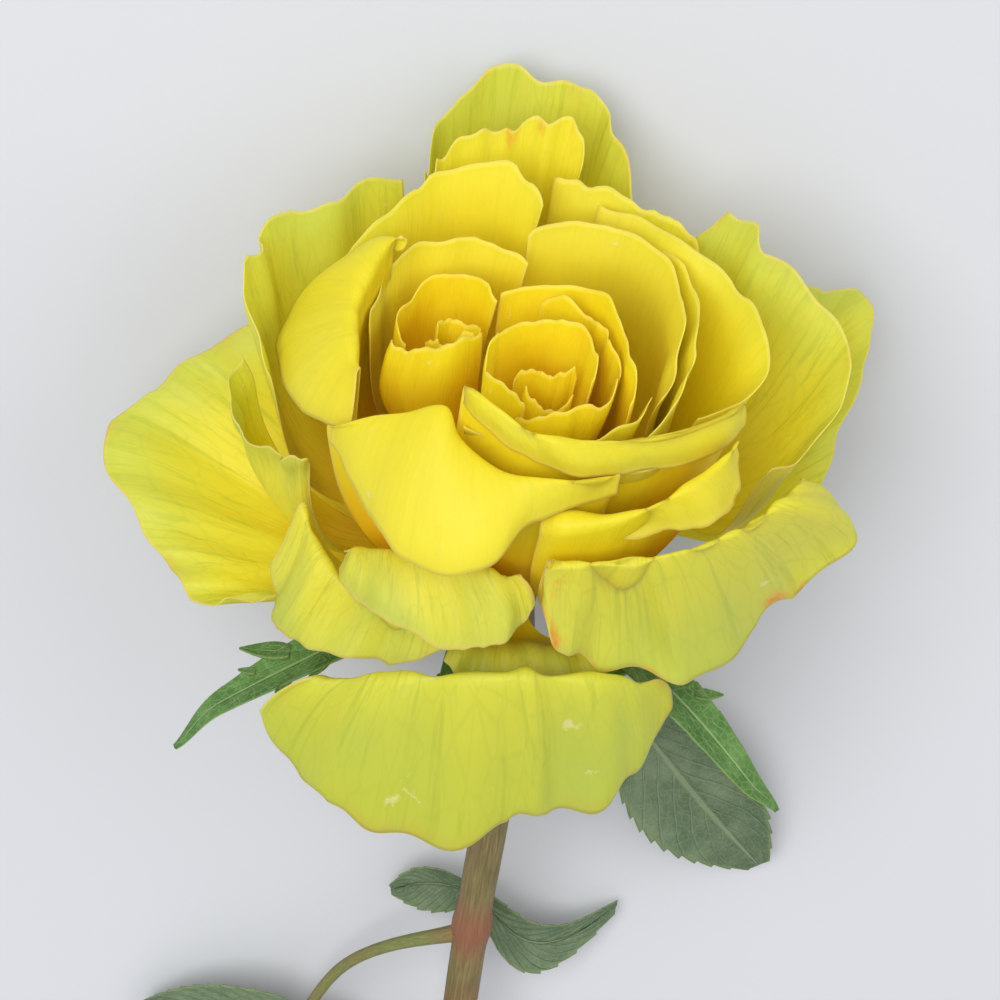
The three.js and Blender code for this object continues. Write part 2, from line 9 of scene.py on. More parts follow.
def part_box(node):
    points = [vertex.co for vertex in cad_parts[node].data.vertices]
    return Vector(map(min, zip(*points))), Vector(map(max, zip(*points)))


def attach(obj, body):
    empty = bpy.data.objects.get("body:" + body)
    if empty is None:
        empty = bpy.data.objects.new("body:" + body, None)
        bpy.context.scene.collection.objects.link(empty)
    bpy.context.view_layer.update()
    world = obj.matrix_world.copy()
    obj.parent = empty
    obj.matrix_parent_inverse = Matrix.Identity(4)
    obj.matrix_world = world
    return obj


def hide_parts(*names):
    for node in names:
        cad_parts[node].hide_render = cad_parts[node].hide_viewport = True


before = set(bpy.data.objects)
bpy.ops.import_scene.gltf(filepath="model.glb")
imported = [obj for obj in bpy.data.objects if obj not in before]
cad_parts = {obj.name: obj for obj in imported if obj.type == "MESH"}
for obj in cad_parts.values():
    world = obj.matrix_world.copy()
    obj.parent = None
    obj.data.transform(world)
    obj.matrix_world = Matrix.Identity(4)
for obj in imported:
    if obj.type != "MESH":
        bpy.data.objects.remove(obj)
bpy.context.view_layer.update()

# ---------------------------------------------------------------------------------------------
# Hip: the swollen cup that the petals and sepals grow from, a smooth green fruit body on top of
# the stem. Its middle is the seat of the whole flower, so the head's place is taken from it.
# ---------------------------------------------------------------------------------------------
MM = 0.001
HEAD_TILT = math.radians(20)
AXIS_LEAN = (0.15, -0.05)

hip_low, hip_high = (np.array(c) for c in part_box("receptacle"))
SEAT = (hip_low + hip_high) / 2
HEAD_RIGHT = np.array([-1.0, 0.0, 0.0])
HEAD_BACK = np.array([0.0, -math.sin(HEAD_TILT), -math.cos(HEAD_TILT)])
HEAD_AXIS = np.array([0.0, -math.cos(HEAD_TILT), math.sin(HEAD_TILT)])


def in_head(points):
    """Points in millimetres in the flower's own frame, turned into the row frame in metres."""
    p = np.asarray(points, float) * MM
    return SEAT + p[..., :1] * HEAD_RIGHT + p[..., 1:2] * HEAD_BACK + p[..., 2:3] * HEAD_AXIS


def smooth(x):
    c = np.clip(x, 0, 1)
    return c * c * (3 - 2 * c)


def sheet_mesh(name, points, thickness, attributes):
    """A closed thin body over a grid of points (rows along, columns across), in metres."""
    rows, columns = points.shape[:2]
    along = np.gradient(points, axis=0)
    across = np.gradient(points, axis=1)
    normal = np.cross(across, along)
    normal /= np.linalg.norm(normal, axis=2, keepdims=True) + 1e-12
    half = thickness[..., None] / 2
    corners = np.concatenate([points + normal * half, points - normal * half]).reshape(-1, 3)
    layer = rows * columns
    faces = []
    for i in range(rows - 1):
        for j in range(columns - 1):
            a = i * columns + j
            faces.append((a, a + 1, a + columns + 1, a + columns))
            faces.append((layer + a, layer + a + columns, layer + a + columns + 1, layer + a + 1))
    for j in range(columns - 1):
        last = (rows - 1) * columns + j
        faces.append((j + 1, j, layer + j, layer + j + 1))
        faces.append((last, last + 1, layer + last + 1, layer + last))
    for i in range(rows - 1):
        left = i * columns
        right = left + columns - 1
        faces.append((left, left + columns, layer + left + columns, layer + left))
        faces.append((right + columns, right, layer + right, layer + right + columns))
    mesh = bpy.data.meshes.new(name)
    mesh.from_pydata([tuple(c) for c in corners], [], faces)
    volume = sum(
        Vector(corners[f[0]]).dot(Vector(corners[f[1]]).cross(Vector(corners[f[2]])))
        + Vector(corners[f[0]]).dot(Vector(corners[f[2]]).cross(Vector(corners[f[3]])))
        for f in faces
    )
    if volume < 0:
        mesh.flip_normals()
    s, t = np.meshgrid(np.linspace(0, 1, rows), np.linspace(0, 1, columns), indexing="ij")
    uv = np.concatenate([np.stack([t, s], axis=2).reshape(-1, 2)] * 2)
    layer_uv = mesh.uv_layers.new(name="grain")
    vertex_of = np.zeros(len(mesh.loops), np.int32)
    mesh.loops.foreach_get("vertex_index", vertex_of)
    layer_uv.data.foreach_set("uv", uv[vertex_of].ravel().astype(np.float32))
    for key, values in attributes.items():
        stored = mesh.attributes.new(key, "FLOAT", "POINT")
        both = np.concatenate([values.ravel(), values.ravel()]).astype(np.float32)
        stored.data.foreach_set("value", both)
    mesh.polygons.foreach_set("use_smooth", [True] * len(mesh.polygons))
    return mesh


def add_piece(name, mesh, material, slot, *nodes):
    """Puts a finished mesh in the scene, riding on the rose and standing for its CAD nodes."""
    piece = bpy.data.objects.new(name, mesh)
    bpy.context.scene.collection.objects.link(piece)
    mesh.materials.clear()
    mesh.materials.append(material)
    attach(piece, "root")
    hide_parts(*nodes)
    return piece


class Shader:
    """A short way to write a node material: each call adds a node and links what it is given."""

    def __init__(self, name, roughness, subsurface=0.0, radius=(0.4, 0.3, 0.1), scale=0.004):
        self.material = bpy.data.materials.new(name)
        self.material.use_nodes = True
        self.tree = self.material.node_tree
        self.skin = self.tree.nodes["Principled BSDF"]
        self.skin.inputs["Roughness"].default_value = roughness
        self.skin.inputs["Subsurface Weight"].default_value = subsurface
        self.skin.inputs["Subsurface Radius"].default_value = radius
        self.skin.inputs["Subsurface Scale"].default_value = scale
        self.skin.inputs["Specular IOR Level"].default_value = 0.35

    def put(self, socket, value):
        if isinstance(value, bpy.types.NodeSocket):
            self.tree.links.new(value, socket)
        else:
            socket.default_value = value

    def maths(self, operation, a, b=0.0, clamp=False):
        node = self.tree.nodes.new("ShaderNodeMath")
        node.operation = operation
        node.use_clamp = clamp
        self.put(node.inputs[0], a)
        self.put(node.inputs[1], b)
        return node.outputs[0]

    def ramp(self, value, low, high):
        """0 below low, 1 above high, smooth between."""
        node = self.tree.nodes.new("ShaderNodeMapRange")
        node.interpolation_type = "SMOOTHSTEP"
        self.put(node.inputs["Value"], value)
        node.inputs["From Min"].default_value = low
        node.inputs["From Max"].default_value = high
        return node.outputs["Result"]

    def mix(self, share, a, b):
        node = self.tree.nodes.new("ShaderNodeMix")
        node.data_type = "RGBA"
        self.put(node.inputs[0], share)
        self.put(node.inputs[6], a if isinstance(a, bpy.types.NodeSocket) else (*a, 1))
        self.put(node.inputs[7], b if isinstance(b, bpy.types.NodeSocket) else (*b, 1))
        return node.outputs[2]

    def grain(self, across, along, shift=0.0):
        """The sheet's own coordinates, scaled: across is the number of units from edge to edge."""
        uv = self.tree.nodes.new("ShaderNodeUVMap")
        uv.uv_map = "grain"
        node = self.tree.nodes.new("ShaderNodeMapping")
        self.put(node.inputs["Vector"], uv.outputs[0])
        node.inputs["Scale"].default_value = (across, along, 1)
        node.inputs["Location"].default_value = (shift, shift * 0.7, 0)
        return node.outputs[0]

    def place(self):
        return self.tree.nodes.new("ShaderNodeTexCoord").outputs["Object"]

    def noise(self, vector, scale, detail=3.0, rough=0.5, distort=0.0):
        node = self.tree.nodes.new("ShaderNodeTexNoise")
        self.put(node.inputs["Vector"], vector)
        node.inputs["Scale"].default_value = scale
        node.inputs["Detail"].default_value = detail
        node.inputs["Roughness"].default_value = rough
        node.inputs["Distortion"].default_value = distort
        return node.outputs["Fac"]

    def cells(self, vector, scale):
        node = self.tree.nodes.new("ShaderNodeTexVoronoi")
        node.feature = "DISTANCE_TO_EDGE"
        self.put(node.inputs["Vector"], vector)
        node.inputs["Scale"].default_value = scale
        return node.outputs["Distance"]

    def attribute(self, name):
        node = self.tree.nodes.new("ShaderNodeAttribute")
        node.attribute_name = name
        return node.outputs["Fac"]

    def bump(self, height, distance, strength=1.0, below=None):
        node = self.tree.nodes.new("ShaderNodeBump")
        self.put(node.inputs["Height"], height)
        node.inputs["Distance"].default_value = distance
        node.inputs["Strength"].default_value = strength
        if below is not None:
            self.put(node.inputs["Normal"], below)
        return node.outputs[0]

    def finish(self, colour, normal):
        self.put(self.skin.inputs["Base Color"], colour)
        self.put(self.skin.inputs["Normal"], normal)
        return self.material


def green_skin(name, dark, light, scale):
    """Living green bark or rind: cloudy greens with a fine pimpled surface."""
    s = Shader(name, 0.5, subsurface=0.15, radius=(0.3, 0.5, 0.1), scale=0.002)
    cloud = s.ramp(s.noise(s.place(), scale, 4, 0.6), 0.35, 0.68)
    speck = s.ramp(s.noise(s.place(), scale * 9, 2, 0.5), 0.4, 0.7)
    colour = s.mix(cloud, dark, light)
    colour = s.mix(s.maths("MULTIPLY", speck, 0.35), colour, dark)
    return s.finish(colour, s.bump(speck, 0.00012, 0.6))


HIP_RADIUS = 7.2
HIP_HALF_LENGTH = 7.0
hip_steps, hip_sides = 28, 48
hip_angle = np.linspace(-math.pi / 2, math.pi / 2, hip_steps)
hip_points = []
for a in hip_angle[1:-1]:
    for k in range(hip_sides):
        turn = 2 * math.pi * k / hip_sides
        swell = 1 + 0.012 * math.cos(5 * turn) * math.cos(a)
        radius = HIP_RADIUS * math.cos(a) * swell * (0.93 + 0.07 * math.sin(a))
        hip_points.append((radius * math.cos(turn), radius * math.sin(turn), HIP_HALF_LENGTH * math.sin(a)))
hip_points.append((0, 0, -HIP_HALF_LENGTH))
hip_points.append((0, 0, HIP_HALF_LENGTH))
hip_faces = []
bottom, top = len(hip_points) - 2, len(hip_points) - 1
for i in range(hip_steps - 3):
    for k in range(hip_sides):
        n = (k + 1) % hip_sides
        hip_faces.append((i * hip_sides + k, i * hip_sides + n, (i + 1) * hip_sides + n, (i + 1) * hip_sides + k))
for k in range(hip_sides):
    n = (k + 1) % hip_sides
    hip_faces.append((bottom, n, k))
    last = (hip_steps - 3) * hip_sides
    hip_faces.append((top, last + k, last + n))
hip_mesh = bpy.data.meshes.new("hip")
hip_mesh.from_pydata([tuple(p) for p in in_head(hip_points)], [], hip_faces)
hip_mesh.polygons.foreach_set("use_smooth", [True] * len(hip_mesh.polygons))
HIP_GREEN = green_skin("hip_green", (0.06, 0.13, 0.02), (0.16, 0.27, 0.06), 260)
add_piece("hip", hip_mesh, HIP_GREEN, "sepal", "receptacle")


# ---------------------------------------------------------------------------------------------
# Petals: thin soft sheets that fan out from a narrow claw on the hip. They are lemon or
# green-tinged towards the rim, with fine veins and some blush at the edge. The deep gold and
# amber towards the foot is painted shade and bounce glow of the deep cup, and the pale line
# along the thin edge is a painted highlight, light showing through the edge.
# ---------------------------------------------------------------------------------------------
CLAW_HALF_WIDTH = 1.0
SEAT_TOP = HIP_HALF_LENGTH + 0.5
PETAL_THICKNESS = 0.42
EDGE_THICKNESS = 0.13


def through(points, u):
    """A smooth line through a few points, read at the shares u of its length."""
    p = np.asarray(points, float)
    last = len(p) - 1
    i = np.clip(np.floor(u * last).astype(int), 0, last - 1)
    f = (u * last - i)[..., None]
    at = lambda k: p[np.clip(k, 0, last)]
    a, b, c, d = at(i - 1), at(i), at(i + 1), at(i + 2)
    bend = (3 * (b - c) + d - a) * f + 2 * a - 5 * b + 4 * c - d
    return b + 0.5 * f * (c - a + f * bend)


CREST_SHARE = 0.62


def cubic(a, b, c, d, u):
    """A cubic Bezier curve in radius and height; a and b are fixed, c and d vary over the sheet."""
    u = u[..., None]
    r = 1 - u
    return r**3 * np.array(a) + 3 * r * r * u * np.array(b) + 3 * r * u * u * c + u**3 * d


def petal_points(
    rim, claw, belly, shoulder, crest=None, turned=(-1, 6), tuck=0.3, round=0.03, centre=(0, 0),
    roll=0.0, ruffle=0.0, waves=5.0, ragged=0.0, pleats=0.0, seed=0, folds=(), tips=(), rows=44, columns=44,
):
    """The petal's middle surface in the flower's frame, in millimetres.

    roll bends the last part of the rim outwards, ruffle waves it, folds are (place, width, height)
    creases along the petal and tips are (place, width, reach) points or notches in the rim."""
    s, t = np.meshgrid(np.linspace(0, 1, rows) ** 0.9, np.linspace(-1, 1, columns), indexing="ij")
    rng = np.random.default_rng(seed)
    middle = through(rim, np.array([0.5]))[0, 0]
    end = through(rim, (t + 1) / 2)
    reach = s * (1 - round * np.abs(t) ** 3)
    for place, width, much in tips:
        reach = reach + s**3 * much * np.exp(-np.abs((t - place) / width) ** 1.3)
    nicks = rng.uniform(0, 6.28, 4)
    uneven = np.sin(5 * t + nicks[0]) + 0.6 * np.sin(11 * t + nicks[1]) + 0.45 * np.sin(23 * t + nicks[2])
    uneven = uneven - 1.2 * np.maximum(0, np.sin(8 * t + nicks[3]) - 0.8) * 5
    reach = reach + ragged * s**6 * uneven
    first = end if crest is None else through(crest, (t + 1) / 2)
    handle = np.array(shoulder, float)
    profile = cubic(claw, belly, first[..., 1:] + handle, first[..., 1:], reach)
    angle = first[..., 0]
    if crest is not None:
        part = np.clip(reach / CREST_SHARE, 0, 1)
        beyond = np.clip((reach - CREST_SHARE) / (1 - CREST_SHARE), 0, 1.15)
        below = cubic(claw, belly, first[..., 1:] + handle, first[..., 1:], part)
        lead = first[..., 1:] - handle * 0.3
        over = cubic(first[..., 1:], lead, end[..., 1:] + np.array(turned), end[..., 1:], beyond)
        past = (reach > CREST_SHARE)[..., None]
        profile = np.where(past, over, below)
        angle = first[..., 0] + (end[..., 0] - first[..., 0]) * smooth(beyond)
    radius, height = profile[..., 0], profile[..., 1]
    claw_turn = np.degrees(t * CLAW_HALF_WIDTH / claw[0])
    opening = np.sin(math.pi / 2 * smooth(s * (1.15 if crest is None else 1.7)))
    turn = np.radians(middle + claw_turn + (angle - middle - claw_turn) * opening)
    out = radius + tuck * t * smooth(s * 1.6)
    pull = 0.18 + 0.82 * smooth((height - 3) / 27)
    x = out * np.cos(turn) + AXIS_LEAN[0] * height + centre[0] * pull
    y = out * np.sin(turn) + AXIS_LEAN[1] * height + centre[1] * pull
    points = np.stack([x, y, height], axis=2)
    normal = np.cross(np.gradient(points, axis=1), np.gradient(points, axis=0))
    normal /= np.linalg.norm(normal, axis=2, keepdims=True) + 1e-9
    outward = np.stack([np.cos(turn), np.sin(turn), 0 * turn], axis=2)
    if np.sum(normal * outward) < 0:
        normal = -normal
    lip = smooth((reach - 0.8) / 0.22) ** 2
    bend = roll * lip
    phase = rng.uniform(0, 6.28, 4)
    wave = np.sin(waves * t + phase[0]) + 0.5 * np.sin(waves * 1.9 * t + phase[1] + 2 * s)
    wave = wave + 0.3 * np.sin(waves * 3.7 * t + phase[2])
    bend = bend + ruffle * wave * smooth((reach - 0.35) / 0.65) ** 1.5
    crimp = np.sin(17 * t + phase[1]) * (0.6 + 0.4 * np.sin(5 * t + phase[3]))
    bend = bend + pleats * crimp * smooth((reach - 0.2) / 0.6) * (1 - 0.4 * s)
    slow = np.sin(2.1 * t + 2.5 * s + phase[3]) * smooth(s * 1.5)
    bend = bend + 0.35 * slow
    for place, width, much in folds:
        bend = bend + much * np.exp(-(((t - place) / width) ** 2)) * smooth(reach * 1.3)
    points = points + normal * bend[..., None]
    points[..., 2] -= 0.35 * roll * lip
    return points, reach, t


def petal_material(name, foot, body, rim, edge, veins, green=0.0, blush=0.0, shift=0.0):
    """Petal skin: colour runs from foot to rim, deeper towards the foot as painted shade, with fan veins, a painted
    highlight along the thin edge and blush.
    """
    s = Shader(name, 0.55, subsurface=0.45, radius=(1.0, 0.8, 0.1), scale=0.004)
    run = s.attribute("run")
    wander = s.noise(s.grain(3, 2, shift), 1.0, 3, 0.55)
    place = s.maths("ADD", run, s.maths("MULTIPLY", s.maths("SUBTRACT", wander, 0.5), 0.35))
    # Painted shade: the colour deepens to gold and amber towards the foot, down in the cup, standing in for its
    # shade and bounce glow.
    colour = s.mix(s.ramp(place, 0.1, 0.62), foot, body)
    colour = s.mix(s.ramp(place, 0.62, 1.02), colour, rim)
    fan = s.noise(s.grain(46, 2.6, shift), 1.0, 4, 0.6, 0.5)
    net = s.cells(s.grain(30, 9, shift), 1.0)
    fan_lines = s.ramp(fan, 0.52, 0.66)
    net_lines = s.maths("SUBTRACT", 1.0, s.ramp(net, 0.0, 0.1))
    vein = s.maths("MULTIPLY", s.maths("ADD", fan_lines, s.maths("MULTIPLY", net_lines, 0.35)), veins)
    colour = s.mix(s.maths("MULTIPLY", vein, s.ramp(run, 0.25, 0.8), True), colour, (0.38, 0.43, 0.03))
    if green:
        patch = s.ramp(s.noise(s.grain(2.3, 1.6, shift + 5), 1.0, 2, 0.5), 0.42, 0.72)
        amount = s.maths("MULTIPLY", s.maths("MULTIPLY", patch, s.ramp(run, 0.5, 0.95)), green)
        colour = s.mix(amount, colour, (0.40, 0.50, 0.07))
    pale = s.ramp(s.noise(s.grain(5, 5, shift + 9), 2.0, 5, 0.65), 0.66, 0.72)
    colour = s.mix(s.maths("MULTIPLY", pale, 0.5), colour, (0.88, 0.72, 0.36))
    # Painted highlight: a pale line along the thin edge, standing in for light showing through the edge.
    border = s.attribute("border")
    thin = s.maths("SUBTRACT", 1.0, s.ramp(border, 0.0, 0.7))
    colour = s.mix(s.maths("MULTIPLY", thin, edge), colour, (0.86, 0.55, 0.16))
    if blush:
        near = s.maths("SUBTRACT", 1.0, s.ramp(border, 0.3, 4.5))
        spots = s.ramp(s.noise(s.grain(4, 3, shift + 3), 1.3, 4, 0.6), 0.5, 0.68)
        colour = s.mix(s.maths("MULTIPLY", s.maths("MULTIPLY", near, spots), blush), colour, (0.86, 0.22, 0.03))
    fine = s.noise(s.place(), 1400, 2, 0.5)
    normal = s.bump(fine, 0.00006, 0.35)
    normal = s.bump(fan, 0.00016, 0.5, normal)
    normal = s.bump(s.noise(s.grain(14, 5, shift), 1.0, 2, 0.5), 0.0006, 0.35, normal)
    return s.finish(colour, normal)


def add_petal(node, slot, material, **shape):
    points, reach, t = petal_points(**shape)
    metres = in_head(points)
    length = np.cumsum(np.linalg.norm(np.diff(points, axis=0, prepend=points[:1]), axis=2), axis=0)
    to_rim = length[-1:] - length
    wide = np.cumsum(np.linalg.norm(np.diff(points, axis=1, prepend=points[:, :1]), axis=2), axis=1)
    to_side = np.minimum(wide, wide[:, -1:] - wide)
    border = np.minimum(to_rim, to_side + 2.5 * (1 - smooth(length / 30)))
    taper = smooth(np.minimum(to_rim, to_side) / 3.0)
    thickness = (EDGE_THICKNESS + (PETAL_THICKNESS - EDGE_THICKNESS) * taper) * MM
    mesh = sheet_mesh(node, metres, thickness, {"run": reach, "border": border})
    return add_piece(node.replace("petal_", "petal_skin_"), mesh, material, slot, node)


# The deep gold and amber below are painted shade and bounce glow, used towards the petal feet deep in the cup.
CUP_SHADE_GOLD = (0.88, 0.33, 0.002)
CUP_SHADE_AMBER = (0.94, 0.53, 0.003)
LEMON = (0.94, 0.71, 0.01)
PRIMROSE = (0.90, 0.74, 0.035)
LIME = (0.66, 0.64, 0.06)

HEART_SKINS = [
    petal_material(f"heart_petal_{k}", CUP_SHADE_GOLD, CUP_SHADE_AMBER, LEMON, 0.3, 0.05, shift=k * 3.1, blush=0.15)
    for k in range(2)
]
INNER_SKINS = [
    petal_material(f"ring_petal_{k}", CUP_SHADE_GOLD, LEMON, PRIMROSE, 0.35, 0.07, green=0.15, shift=k * 2.3)
    for k in range(3)
]
OUTER_SKINS = [
    petal_material(f"outer_petal_{k}", CUP_SHADE_AMBER, PRIMROSE, LIME, 0.45, 0.4, green=0.6, shift=k * 1.7, blush=b)
    for k, b in enumerate((0.0, 0.3, 1.5))
]
OUTER_SKINS.append(petal_material("outer_petal_3", CUP_SHADE_AMBER, LEMON, PRIMROSE, 0.45, 0.15, shift=8.1, blush=0.8))
DULL_LIME = (0.68, 0.64, 0.045)
LEAF_LIME = (0.50, 0.53, 0.045)
OUTER_SKINS.append(
    petal_material(
        "outer_petal_4", PRIMROSE, DULL_LIME, LEAF_LIME, 0.45, 0.45, green=0.9, shift=6.3, blush=0.25
    )
)

# The two small swirls in the heart: upright petals rolled round their own centres.
LEFT_SWIRL = (-13.6, 5.0)
RIGHT_SWIRL = (-1.1, -4.7)
HEART = [
    ("left_swirl_1", LEFT_SWIRL, [(190, 2.6, 35), (235, 2.4, 34.6), (290, 2.5, 35), (330, 3.4, 35.2)], {}),
    ("left_swirl_2", LEFT_SWIRL, [(-40, 4.6, 35.5), (20, 3.6, 35), (90, 2.4, 35.5), (160, 1.6, 36)], {}),
    ("left_swirl_3", LEFT_SWIRL, [(196, 4.8, 35.5), (150, 6.4, 37), (110, 8.5, 38), (75, 9, 38), (35, 7, 37.5)],
     {"belly": (3.2, 17)}),
    ("left_swirl_4", LEFT_SWIRL,
     [(199, 8.2, 35), (210, 8, 36), (224, 6.5, 36), (245, 5.5, 36), (284, 5, 37), (325, 5, 38)],
     {"shoulder": (2.5, -11), "belly": (4.5, 15)}),
    ("right_swirl_1", RIGHT_SWIRL, [(150, 4.2, 33.5), (110, 3, 33.8), (60, 3.4, 34), (35, 4.8, 34)], {}),
    ("right_swirl_2", RIGHT_SWIRL, [(200, 3.4, 34.5), (240, 2.8, 34), (300, 2.8, 34), (345, 3.8, 34.5)], {}),
    ("right_swirl_3", RIGHT_SWIRL,
     [(132, 10.5, 36), (112, 9.8, 37.5), (90, 9, 38), (66, 7.8, 38), (37, 6.2, 37), (-8, 5.2, 36)], {}),
    ("right_swirl_4", RIGHT_SWIRL, [(143, 8.6, 38), (168, 7.6, 38), (198, 6.3, 37), (238, 5.2, 35)], {}),
    ("right_swirl_5", RIGHT_SWIRL,
     [(235, 6.6, 34.5), (262, 7, 35), (300, 7.2, 35), (333, 7.6, 36), (367, 7.8, 36)], {}),
    ("right_swirl_6", RIGHT_SWIRL,
     [(95, 12.5, 37.5), (70, 11.2, 38), (50, 10, 38), (30, 9, 37.5), (5, 8.4, 36.5)],
     {"belly": (5.2, 15)}),
    ("right_swirl_7", RIGHT_SWIRL,
     [(112, 16.5, 38), (92, 14.5, 38.5), (65, 12.6, 38.5), (35, 11, 38), (5, 10.5, 37), (-22, 10.7, 35.5)],
     {"belly": (8.6, 13)}),
]
for i, (name, centre, rim, extra) in enumerate(HEART):
    foot = 0.7 + 0.21 * (i if centre is LEFT_SWIRL else i - 4)
    wide = sum(p[1] for p in rim) / len(rim)
    dips = [(0.62 * math.sin(2.4 * i + 1), 0.3, 0.05 * math.cos(1.9 * i)), (0.8 * math.cos(3.1 * i), 0.16, 0.045)]
    options = {"shoulder": (wide * 0.05, -13), "belly": (foot + wide * 0.4, 14), "tips": dips, **extra}
    add_petal(
        f"petal_{name}", "petal_heart", HEART_SKINS[i % 2], rim=rim, claw=(foot, SEAT_TOP),
        tuck=0.1, centre=centre, roll=0.12, ruffle=0.35 + 0.03 * wide, waves=3.1, ragged=0.006, pleats=0.08, seed=i,
        rows=44, columns=48, **options,
    )

# The bowl round the heart and the petals that turn over in front of it and beside it.
BOWL = [
    ("bowl_left", [(169, 24, 37.5), (160, 24, 38.5), (148, 23.5, 40), (133, 22.5, 41), (118, 20, 41),
                   (104, 16, 39)], {}),
    ("bowl_right", [(101, 19, 41), (80, 19.5, 41), (59, 19.5, 40.5), (38, 17.5, 40), (15, 15.5, 39),
                    (-10, 13.5, 37), (-29, 13.5, 36)], {"roll": 1.5}),
    ("bowl_front", [(-30, 14, 35.5), (-60, 14.5, 35), (-92, 14.5, 35), (-120, 14.5, 36),
                    (-138, 15.5, 38)], {"shoulder": (-1, -14)}),
    ("bowl_side", [(60, 22, 40), (29, 18.5, 39), (5, 17, 38), (-15, 17, 37), (-35, 17, 35.5),
                   (-60, 16.5, 34.5)], {"shoulder": (-1, -16)}),
    ("ring_low", [(-35, 19, 32), (-52, 18.3, 32), (-72, 17, 32.5), (-95, 16, 33), (-112, 15.8, 34.5),
                  (-130, 16.5, 37)], {"shoulder": (0.3, -13), "roll": 1.7}),
    ("ring_right", [(79, 26, 41), (62, 25, 41), (43, 24, 40), (27, 25, 38), (12, 25, 37),
                    (0, 25.5, 35.5), (-12, 23.5, 33.5), (-24, 20, 33)], {"shoulder": (-3, -12)}),
    ("ring_front", [(-17, 27, 29.5), (-34, 25, 30), (-59, 21, 31.5), (-80, 19.5, 32), (-98, 19, 33.5),
                    (-115, 18.5, 36), (-131, 18.8, 39)],
     {"crest": [(-18, 24.5, 32.5), (-46, 20.3, 34), (-76, 18, 34.5), (-101, 17.5, 35.5), (-120, 17, 38),
                (-132, 18.5, 40)], "shoulder": (-0.5, -13), "turned": (-1, 2)}),
    ("back_cup", [(156, 30.5, 37), (147, 30.5, 40.5), (136, 30.5, 43.5), (125, 31, 45), (114, 29.5, 46),
                  (104, 26.5, 46), (98, 22, 44.5)], {"shoulder": (-2, -17)}),
    ("back_right", [(92, 29, 43), (80, 28, 42), (66, 27, 40.5), (53, 27, 38.5), (44, 27.5, 37)],
     {"shoulder": (-2, -17)}),
    ("left_drape", [(146, 25, 42), (148, 29, 41), (154, 32, 38.5), (158, 36.5, 34), (165, 37, 31),
                    (174, 35, 30), (188, 31.5, 28.5), (200, 27, 29.5)],
     {"crest": [(150, 25, 42), (160, 25.5, 41), (170, 26, 39.5), (180, 25.5, 37.5), (190, 25, 35.5)],
      "shoulder": (-1, -14), "turned": (-2, 3)}),
    ("front_fold", [(202, 31.3, 29.3), (209, 30.5, 28), (217, 30, 26), (227, 30.5, 25), (238, 31.3, 24.5),
                    (250, 31, 24.5), (258, 28.5, 25.5), (265, 24, 27.5), (280, 22.5, 28), (292, 22, 28.5)],
     {"crest": [(199, 29.5, 30), (206, 25, 34), (214, 22, 36), (224, 19.5, 38), (234, 20, 35),
                (252, 20.5, 32), (272, 20.5, 30.5), (292, 20.5, 29.5)], "shoulder": (-2.5, -12),
      "turned": (-2, 5)}),
    ("front_cup", [(268, 21.5, 25), (288, 24.5, 25), (304, 27, 25), (315, 28.7, 25), (325, 29, 26),
                   (332, 27.5, 29)],
     {"crest": [(268, 23, 25), (290, 24.5, 27), (312, 25, 29), (330, 26, 30.5)], "shoulder": (-2, -10),
      "turned": (-3, 2)}),
]
for i, (name, rim, extra) in enumerate(BOWL):
    foot = 4.75 + 0.17 * i
    floor_height = SEAT_TOP - 0.2 * i
    wide = sum(p[1] for p in rim) / len(rim)
    options = {"shoulder": (1, -16), "roll": 0.7, "belly": (foot + wide * 0.6, floor_height + 1 - 0.3 * i)}
    options.update(extra)
    add_petal(
        f"petal_{name}", "petal_inner", INNER_SKINS[i % 3], rim=rim, claw=(foot, floor_height),
        tuck=0.2, ruffle=0.5, waves=4, ragged=0.008, pleats=0.12, seed=20 + i, rows=52, columns=52, **options,
    )

